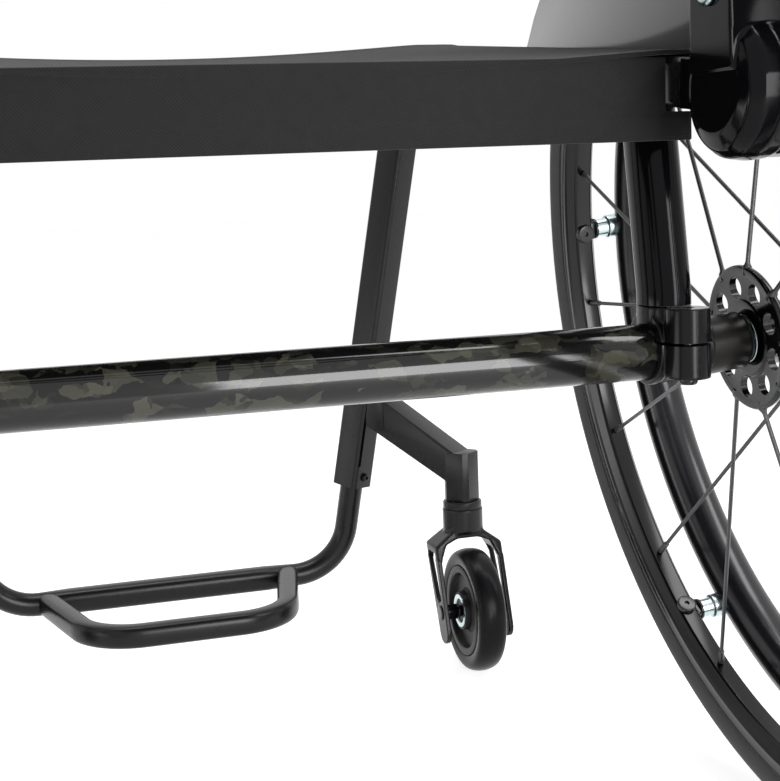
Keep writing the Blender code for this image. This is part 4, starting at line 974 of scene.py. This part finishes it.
# %% Stem collar
CASTER_TRAIL = 0.02
ON_STEM = shift(at(STEM_X, STEM_REACH, 0))
COLLAR_LOW = 0.1282
COLLAR_R = 0.0154
COLLAR_BORE = 0.0064
collar_profile = [
    (COLLAR_BORE, COLLAR_LOW), (COLLAR_R, COLLAR_LOW), (COLLAR_R, COLLAR_LOW + 0.0052),
    (COLLAR_R - 0.0008, COLLAR_LOW + 0.006), (COLLAR_BORE, COLLAR_LOW + 0.006),
]
collar = settle(turned(collar_profile, 72, True, 0.0005, 2), ON_STEM)
dress_pair(collar, "stem_collar", "frame", "satin_frame", "stem_bearing")

# %% [markdown]
# ## Caster fork
# A round crown flows into two slotted blades that lean back and end in rounded tails. A copy of the
# plain solid is remeshed finely. Its shoulders are relaxed strongly, and all of it a little, which
# rounds every edge by about half a millimetre.

# %% Fork
SHOULDERS = (0.09, 0.1255)
fork = remeshed(settle(copy_of_solid("caster_fork_left")), 0.00055, use_smooth_shade=True)
group = fork.vertex_groups.new(name="shoulders")
chosen = [v.index for v in fork.data.vertices if SHOULDERS[0] < v.co.z < SHOULDERS[1]]
group.add(chosen, 1.0, "REPLACE")
apply_modifier(fork, "SMOOTH", iterations=60, vertex_group="shoulders")
apply_modifier(fork, "SMOOTH", iterations=5)
apply_modifier(fork, "DECIMATE", ratio=0.4)
dress_pair(fork, "forged_fork", "fork", "satin_frame", "caster_fork", 50)

# %% [markdown]
# ## Caster wheel
# A small solid tyre with a flat tread and round shoulders is moulded on a dished plastic core. A
# bright ring in the core is the outer race of its bearing.

# %% Caster wheel
CASTER_R = 0.0488
ON_CASTER = ON_STEM @ shift((0, CASTER_TRAIL, CASTER_R)) @ turn(QUARTER, "Y")
shoulder = (
    (0.0126, 0.01), (0.011, 0.0106), (0.007, 0.0112), (0.0045, 0.0109), (0.0025, 0.0095),
    (0.001, 0.0068), (0.0002, 0.0036), (0, 0.0012),
)
half_tyre = [(CASTER_R - depth, z) for depth, z in shoulder]
caster_tyre = settle(turned(and_back(half_tyre), 96, True, 0.0008, 2), ON_CASTER)
dress_pair(caster_tyre, "caster_tread", "caster", "caster_rubber", "caster_tyre")

core_r = CASTER_R - 0.0128 - GAP
half_core = [
    (core_r, 0.0105), (core_r - 0.005, 0.0105), (core_r - 0.0058, 0.0098),
    (core_r - 0.0068, 0.0052), (0.0178, 0.0046), (0.0154, 0.007), (0.0148, 0.0118),
    (0.0138, 0.0124), (0.0134, 0.0108), (0.0044, 0.0108),
]
core = settle(turned(and_back(half_core), 96, True, 0.0006, 2), ON_CASTER)
dress_pair(core, "caster_hub", "caster", "black_plastic", "caster_core")

ring = [(0.0132, 0.0108), (0.0132, 0.0124), (0.01, 0.0124), (0.0094, 0.0116), (0.0094, 0.0108)]
races = []
for end in (-1, 1):
    made = turned(ring, 48, True, 0.0003, 2)
    races.append(settle(made, ON_CASTER @ Matrix.Scale(end, 4, (0, 0, 1))))
race = weld(merged(races), 0.000001)
dress_pair(race, "caster_race", "caster", "steel", "caster_core")

# %% Caster bolt
BLADE_INNER = 0.0242
BOLT_R = 0.006
THREAD_R = 0.004
half_bolt = [
    (0, 0.0289), (0.0052, 0.0289), (BOLT_R, 0.0285), (BOLT_R, 0.0281), (THREAD_R, 0.0281),
    (THREAD_R, BLADE_INNER - GAP), (BOLT_R, BLADE_INNER - GAP), (BOLT_R, 0.0129),
    (THREAD_R, 0.0129),
]
caster_bolt = turned(and_back(half_bolt), 48, False, 0.0002, 1)
for end in (-1, 1):
    carve(caster_bolt, rod(0.0026, 0.0284, 0.04, 6, Matrix.Scale(end, 4, (0, 0, 1))))
settle(caster_bolt, ON_CASTER)
dress_pair(caster_bolt, "caster_bolt", "fork", "black_anodised", "caster_axle_bolt")

# %% [markdown]
# ## Footrest
# One tube stands in both legs, and a smaller one is looped behind its cross bar for the feet. Bar
# and loop are pressed a little square, so their tops catch the light as flat bands. The bar's
# section changes over a short length at each end.

# %% Footrest
FOOT_BAR_Z = 0.0646
FOOT_BAR_REACH = 0.48785008490325527
LOOP_HALF = 0.0086
LOOP_REAR = FOOT_BAR_REACH - 0.1185
BAR_HALF = 0.0097
BAR_FLAT = 0.08
BAR_FADE = 0.024
CORNER_R = 0.045


def pressed(c, s, half, squareness):
    """Where a circle's point at (cos, sin) goes when the circle is pressed towards a square."""
    return tuple(half * copysign(abs(part) ** squareness, part) for part in (c, s))


stem_top = LEG_FOOT_Z + 0.03
stops = ((-1, stem_top), (-1, FOOT_BAR_Z), (1, FOOT_BAR_Z), (1, stem_top))
foot_path = rounded_path([leg_place(z, side) for side, z in stops], CORNER_R, 16)
along_bar = [at(BAR_FLAT + BAR_FADE * k / 6, FOOT_BAR_REACH, FOOT_BAR_Z) for k in range(7)]
half_way = len(foot_path) // 2
foot_path[half_way:half_way] = [Vector((-p.x, p.y, p.z)) for p in along_bar[::-1]] + along_bar
foot_tube = swept(foot_path, oval(2 * FOOT_R, 2 * FOOT_R, 40))
bar_line = at(0, FOOT_BAR_REACH, FOOT_BAR_Z)
for vertex in foot_tube.data.vertices:
    share = min(1, max(0, (BAR_FLAT + BAR_FADE - abs(vertex.co.x)) / BAR_FADE))
    if share:
        arm = vertex.co - bar_line
        y, z = pressed(arm.y / FOOT_R, arm.z / FOOT_R, BAR_HALF, 0.7)
        vertex.co.y = bar_line.y + arm.y + (y - arm.y) * share
        vertex.co.z = bar_line.z + arm.z + (z - arm.z) * share
dress(foot_tube, "footrest_tube", "frame", "satin_frame", "footrest_frame")

loop_corners = [
    at(x, reach, FOOT_BAR_Z)
    for x, reach in (
        (-0.099, FOOT_BAR_REACH), (-0.072, LOOP_REAR), (0.072, LOOP_REAR), (0.099, FOOT_BAR_REACH)
    )
]
loop_section = [pressed(c, s, LOOP_HALF, 0.66) for c, s in oval(2, 2, 40)]
foot_loop = swept(rounded_path(loop_corners, CORNER_R, 16), loop_section)
dress(foot_loop, "footrest_rear_loop", "frame", "satin_frame", "footrest_loop")

foot_screw = cap_screw(0.0035, 0.0025, 0.0017)
settle(foot_screw, on_leg(0.148) @ shift((0, FRAME_DEPTH / 2 + GAP, 0)) @ turn(-QUARTER, "X"))
dress_pair(foot_screw, "stem_screw", "frame", "black_plastic", "footrest_screw")

# %% [markdown]
# ## Backrest hinge
# A glossy forging on the end of the rail has a round foot and two cheeks, between which the post
# folds. A domed drum is joined on over the foot, and both are remeshed as one.

# %% Hinge
PIVOT_REACH = RAIL_REAR_REACH - GAP - 0.008 - 0.033
PIVOT_Z = 0.474
RECLINE = radians(7)
DRUM_X, DRUM_Z = 0.192, 0.428
DRUM_BACK = 0.026
drum_profile = [
    (0, 0.0002), (0.0215, 0), (0.029, 0.0024), (0.033, 0.008), (0.0342, 0.017),
    (0.0334, DRUM_BACK), (0, DRUM_BACK),
]
bracket = copy_of_solid("back_bracket_left")
drum = turned(drum_profile, 96, ease=0.001)
settle(drum, shift(at(DRUM_X, PIVOT_REACH, DRUM_Z)) @ turn(QUARTER, "Y"))
forged(carve(bracket, drum, "UNION"), 0.0007, 8, 0.35)
dress_pair(bracket, "hinge_forging", "frame", "gloss_frame", "back_bracket", 60)

pivot = cap_screw(0.0085, 0.003, 0.003, 0.0348, 0.0045)
settle(pivot, shift(at(RAIL_X - 0.0178, PIVOT_REACH, PIVOT_Z)) @ turn(-QUARTER, "Y"))
dress_pair(pivot, "hinge_pin", "frame", "steel", "back_pivot_pin")

# %% Posts, caps and crossbar
ON_BACK = shift(at(0, PIVOT_REACH, PIVOT_Z)) @ turn(-RECLINE, "X")
POST_R = 0.0095
POST_LENGTH = 0.33
on_post = shift((RAIL_X, 0, 0))
eye_turn = on_post @ turn(QUARTER, "Y")
post = rod(POST_R, 0, POST_LENGTH, 64, on_post)
carve(post, rod(POST_R, -POST_R, POST_R, 64, eye_turn), "UNION")
carve(post, rod(0.0049, -0.05, 0.05, 32, eye_turn))
dress_pair(settle(post, ON_BACK), "back_tube", "backrest", "gloss_frame", "back_post")

cap_profile = [
    (0, 0.0063), (0.005, 0.0062), (0.008, 0.0051), (0.0093, 0.0034), (POST_R, 0.0018),
    (POST_R, GAP), (0, GAP),
]
cap = turned([(r, POST_LENGTH + z) for r, z in cap_profile], 48)
settle(cap, ON_BACK @ on_post)
dress_pair(cap, "tube_cap", "backrest", "black_plastic", "post_cap")

BOW = 0.035
half_bar = RAIL_X - POST_R + 0.0015
steps = [k / 12 for k in range(-12, 13)]
bow = [(half_bar * t, BOW * (1 - t**2) + 0.0005, 0.048) for t in steps]
bar = settle(swept(bow, oval(0.017, 0.017, 32)), ON_BACK)
dress(bar, "bowed_bar", "backrest", "gloss_frame", "back_crossbar")

# %% [markdown]
# ## Seat sling
# A double layer of cloth is stretched over the two rails. It sinks a few millimetres between them,
# and has a folded hem with sewn lines at its front and rear. A fine grid takes that shape point by
# point, and Solidify gives the cloth its thickness.

# %% Seat sling
SLING_REAR = -0.0195
SLING_FRONT = 0.385
SLING_WIDTH = 2 * RAIL_X + FRAME_WIDTH
SLING_LENGTH = (SLING_FRONT - SLING_REAR) / cos(SEAT_ANGLE)
RAIL_INNER = RAIL_X - FRAME_WIDTH / 2
SAG = 0.008
HEM = 0.022
SEAM = 0.0012
rail_top = FRAME_DEPTH / 2 / cos(SEAT_ANGLE) + GAP
on_seat = shift(at(0, SLING_REAR, rail_z(SLING_REAR) + rail_top)) @ turn(-SEAT_ANGLE, "X")


def near_line(distance, width):
    return exp(-((distance / width) ** 2))


sling = added(bpy.ops.mesh.primitive_grid_add, x_subdivisions=120, y_subdivisions=150, size=1)
for vertex in sling.data.vertices:
    x = vertex.co.x * SLING_WIDTH
    y = (vertex.co.y - 0.5) * SLING_LENGTH
    from_end = min(-y, SLING_LENGTH + y)
    inside = max(0, 1 - (x / RAIL_INNER) ** 2)
    hem = 0.0007 / (1 + exp((from_end - HEM) / 0.0008))
    seam = 0.0006 * (near_line(from_end - 0.0185, SEAM) + near_line(from_end - 0.0035, SEAM))
    vertex.co = (x, y, 0.0024 + hem - seam - SAG * inside ** 1.2)
apply_modifier(sling, "SOLIDIFY", thickness=0.0021, offset=-1)
dress(settle(sling, on_seat), "sling_cloth", "frame", "seat_fabric", "seat_sling")

# %% [markdown]
# ## Seat flap
# A stiff doubled flap closes the seat behind and tucks round the rails. A copy of the plain solid
# is bevelled, and a hem is joined on along its lower edge.

# %% Seat flap
flap = bevel(copy_of_solid("seat_flap"), 0.001, 3, 40)
hem = bevel(block((0.4165, 0.0038, 0.012), shift((0, AXLE_Y + 0.0175, 0.4122))), 0.0012)
carve(flap, hem, "UNION")
dress(flap, "rear_flap", "frame", "seat_fabric", "seat_flap")

# %% [markdown]
# ## Back upholstery
# A thin padded panel fills the space between the posts. Cloth simulation blows it up a little with
# no gravity, and its movement is capped, so that it stays clear of the posts. Three sewn lines and
# one round the edge are then pressed in.

# %% Padded back
BACK_WIDTH = 2 * (RAIL_X - POST_R - GAP)
BACK_LOW, BACK_HIGH = 0.066, 0.322
SEWN_LINES = (-0.062, 0.0, 0.062)
SEWN_X, SEWN_Z = BACK_WIDTH / 2 - 0.02, 0.108
SEWN_WIDTH = SEWN_DEPTH = 0.0022


def swollen(obj, pressure, cap):
    """Blow a closed pad up like a stuffed cushion, and never by more than a cap."""
    before = [vertex.co.copy() for vertex in obj.data.vertices]
    take(obj)
    bpy.ops.object.modifier_add(type="CLOTH")
    cloth = obj.modifiers[-1]
    cloth.settings.use_pressure = True
    cloth.settings.uniform_pressure_force = pressure
    cloth.settings.effector_weights.gravity = 0
    for number in range(1, 21):
        scene.frame_set(number)
    bpy.ops.object.modifier_apply(modifier=cloth.name)
    for vertex, start in zip(obj.data.vertices, before):
        move = vertex.co - start
        if move.length > cap:
            vertex.co = start + move.normalized() * cap
    scene.frame_set(1)


pad = bevel(block((BACK_WIDTH - 0.012, 0.01, BACK_HIGH - BACK_LOW - 0.008)), 0.0035)
swollen(remeshed(pad, 0.0042), 4.0, 0.005)
apply_modifier(pad, "SUBSURF", levels=1, render_levels=1)
for vertex in pad.data.vertices:
    x, y, z = vertex.co
    press = sum(near_line(z - line, SEWN_WIDTH) for line in SEWN_LINES) if abs(x) < SEWN_X else 0
    press += near_line(max(abs(x) - SEWN_X, abs(z) - SEWN_Z), SEWN_WIDTH)
    vertex.co.y -= copysign(min(abs(y) * 0.55, SEWN_DEPTH * press), y)
settle(pad, ON_BACK @ shift((0, -0.003, (BACK_LOW + BACK_HIGH) / 2)))
dress(pad, "back_pad", "backrest", "seat_fabric", "back_upholstery", 60)

# %% [markdown]
# ## Side guards
# A thin laminated panel stands on each rail and keeps clothes off the spokes. Only its edges are
# broken, so a copy of the plain plate is bevelled.

# %% Side guards
guard = bevel(copy_of_solid("side_guard_left"), 0.0007)
dress_pair(guard, "guard_plate", "frame", "guard_panel", "side_guard", 30)

GUARD_THICKNESS = 0.0025
guard_face = RAIL_X + FRAME_WIDTH / 2 + GAP + GUARD_THICKNESS + GAP
guard_screw = cap_screw(0.0055, 0.003, 0.002)
settle(guard_screw, shift(at(guard_face, 0.03, rail_z(0.03))) @ turn(QUARTER, "Y"))
dress_pair(guard_screw, "guard_screw", "frame", "steel", "guard_bolt")

# %% Plain solids that still show
showing = [name for name, node in frame["nodes"].items() if not node.hide_render]
print("plain solids that still show:", showing)

# %% [markdown]
# ## Stage
# The photograph has a plain white ground. The floor is white and keeps a soft shadow, and the
# world is white only to the camera and in reflections, so that it doesn't over-light the chair.

# %% Floor and world
WHITE = (1, 1, 1, 1)
FLOOR_GLOW = 0.87
PLAIN_LEVEL = 0.2
floor = settle(added(bpy.ops.mesh.primitive_plane_add, size=30, location=(0, 0, -0.0002)))
floor.name = "floor"
ground = Finish("white_floor", (0.62, 0.62, 0.62), 0.9, specular_ior_level=0.0)
seen = ground.node("ShaderNodeLightPath", output="Is Camera Ray")
mirrored_ray = ground.node("ShaderNodeLightPath", output="Is Glossy Ray")
sockets = {"Color": WHITE, "Strength": (seen + mirrored_ray) * FLOOR_GLOW}
glow = ground.node("ShaderNodeEmission", sockets)
lit = Field(ground.tree, ground.shader.outputs[0])
both = ground.node("ShaderNodeAddShader", {0: lit, 1: glow})
ground.tree.links.new(both.socket, ground.tree.nodes["Material Output"].inputs["Surface"])
floor.data.materials.append(ground.material)

world = bpy.data.worlds.new("white_studio")
scene.world = world
world.use_nodes = True
tree = world.node_tree
backdrop = tree.nodes["Background"]
paths = tree.nodes.new("ShaderNodeLightPath").outputs
kinds = ("Is Camera Ray", "Is Glossy Ray", "Is Transmission Ray")
looking, glossy, through = (Field(tree, paths[kind]) for kind in kinds)
strength = (looking + glossy + through > 0.5) * (1 - PLAIN_LEVEL) + PLAIN_LEVEL
tree.links.new(strength.socket, backdrop.inputs["Strength"])
backdrop.inputs["Color"].default_value = WHITE


# %% Lamps
def softbox(name, place, aim, size, power):
    lamp = added(bpy.ops.object.light_add, type="AREA", location=place)
    lamp.name = name
    lamp.data.shape = "RECTANGLE"
    lamp.data.size, lamp.data.size_y = size
    lamp.data.energy = power
    lamp.rotation_euler = (Vector(aim) - Vector(place)).to_track_quat("-Z", "Y").to_euler()
    print("lamp:", name, power, "W")


softbox("top_soft", (0.0, -0.5, 2.2), (0, 0, 0.3), (1.2, 0.6), 13)
softbox("behind_camera", (-0.51, 1.4, 0.42), (-0.12, AXLE_Y, 0.32), (0.74, 0.78), 20)
softbox("right_high", (-1.06, 0.44, 1.66), (-0.3, -0.1, 0.15), (0.5, 1.5), 15)
softbox("left_low", (1.3, -0.1, 0.12), (0.2, -0.1, 0.0), (1.1, 0.18), 2.5)

# %% [markdown]
# ## Camera
# The camera stands behind the chair's left side, just under the height of the seat, and looks
# forwards across the axle. Its three turns are kept apart: heading, tilt and roll.

# %% Camera
FRAME_PIXELS = 781
FOCAL_PIXELS = 1492.89
SENSOR_MM = 36
HEADING, TILT, ROLL = 0.289465511, 0.142402869, -0.0391866524
camera = added(bpy.ops.object.camera_add)
aimed = turn(pi - HEADING, "Z") @ turn(QUARTER - TILT, "X") @ turn(ROLL, "Z")
camera.matrix_world = shift((0.16115, AXLE_Y + 0.70802, 0.39312)) @ aimed
camera.data.sensor_width = SENSOR_MM
camera.data.lens = FOCAL_PIXELS / FRAME_PIXELS * SENSOR_MM
camera.data.clip_start = 0.02
bpy.context.scene.camera = camera
scene.view_settings.view_transform = "Standard"
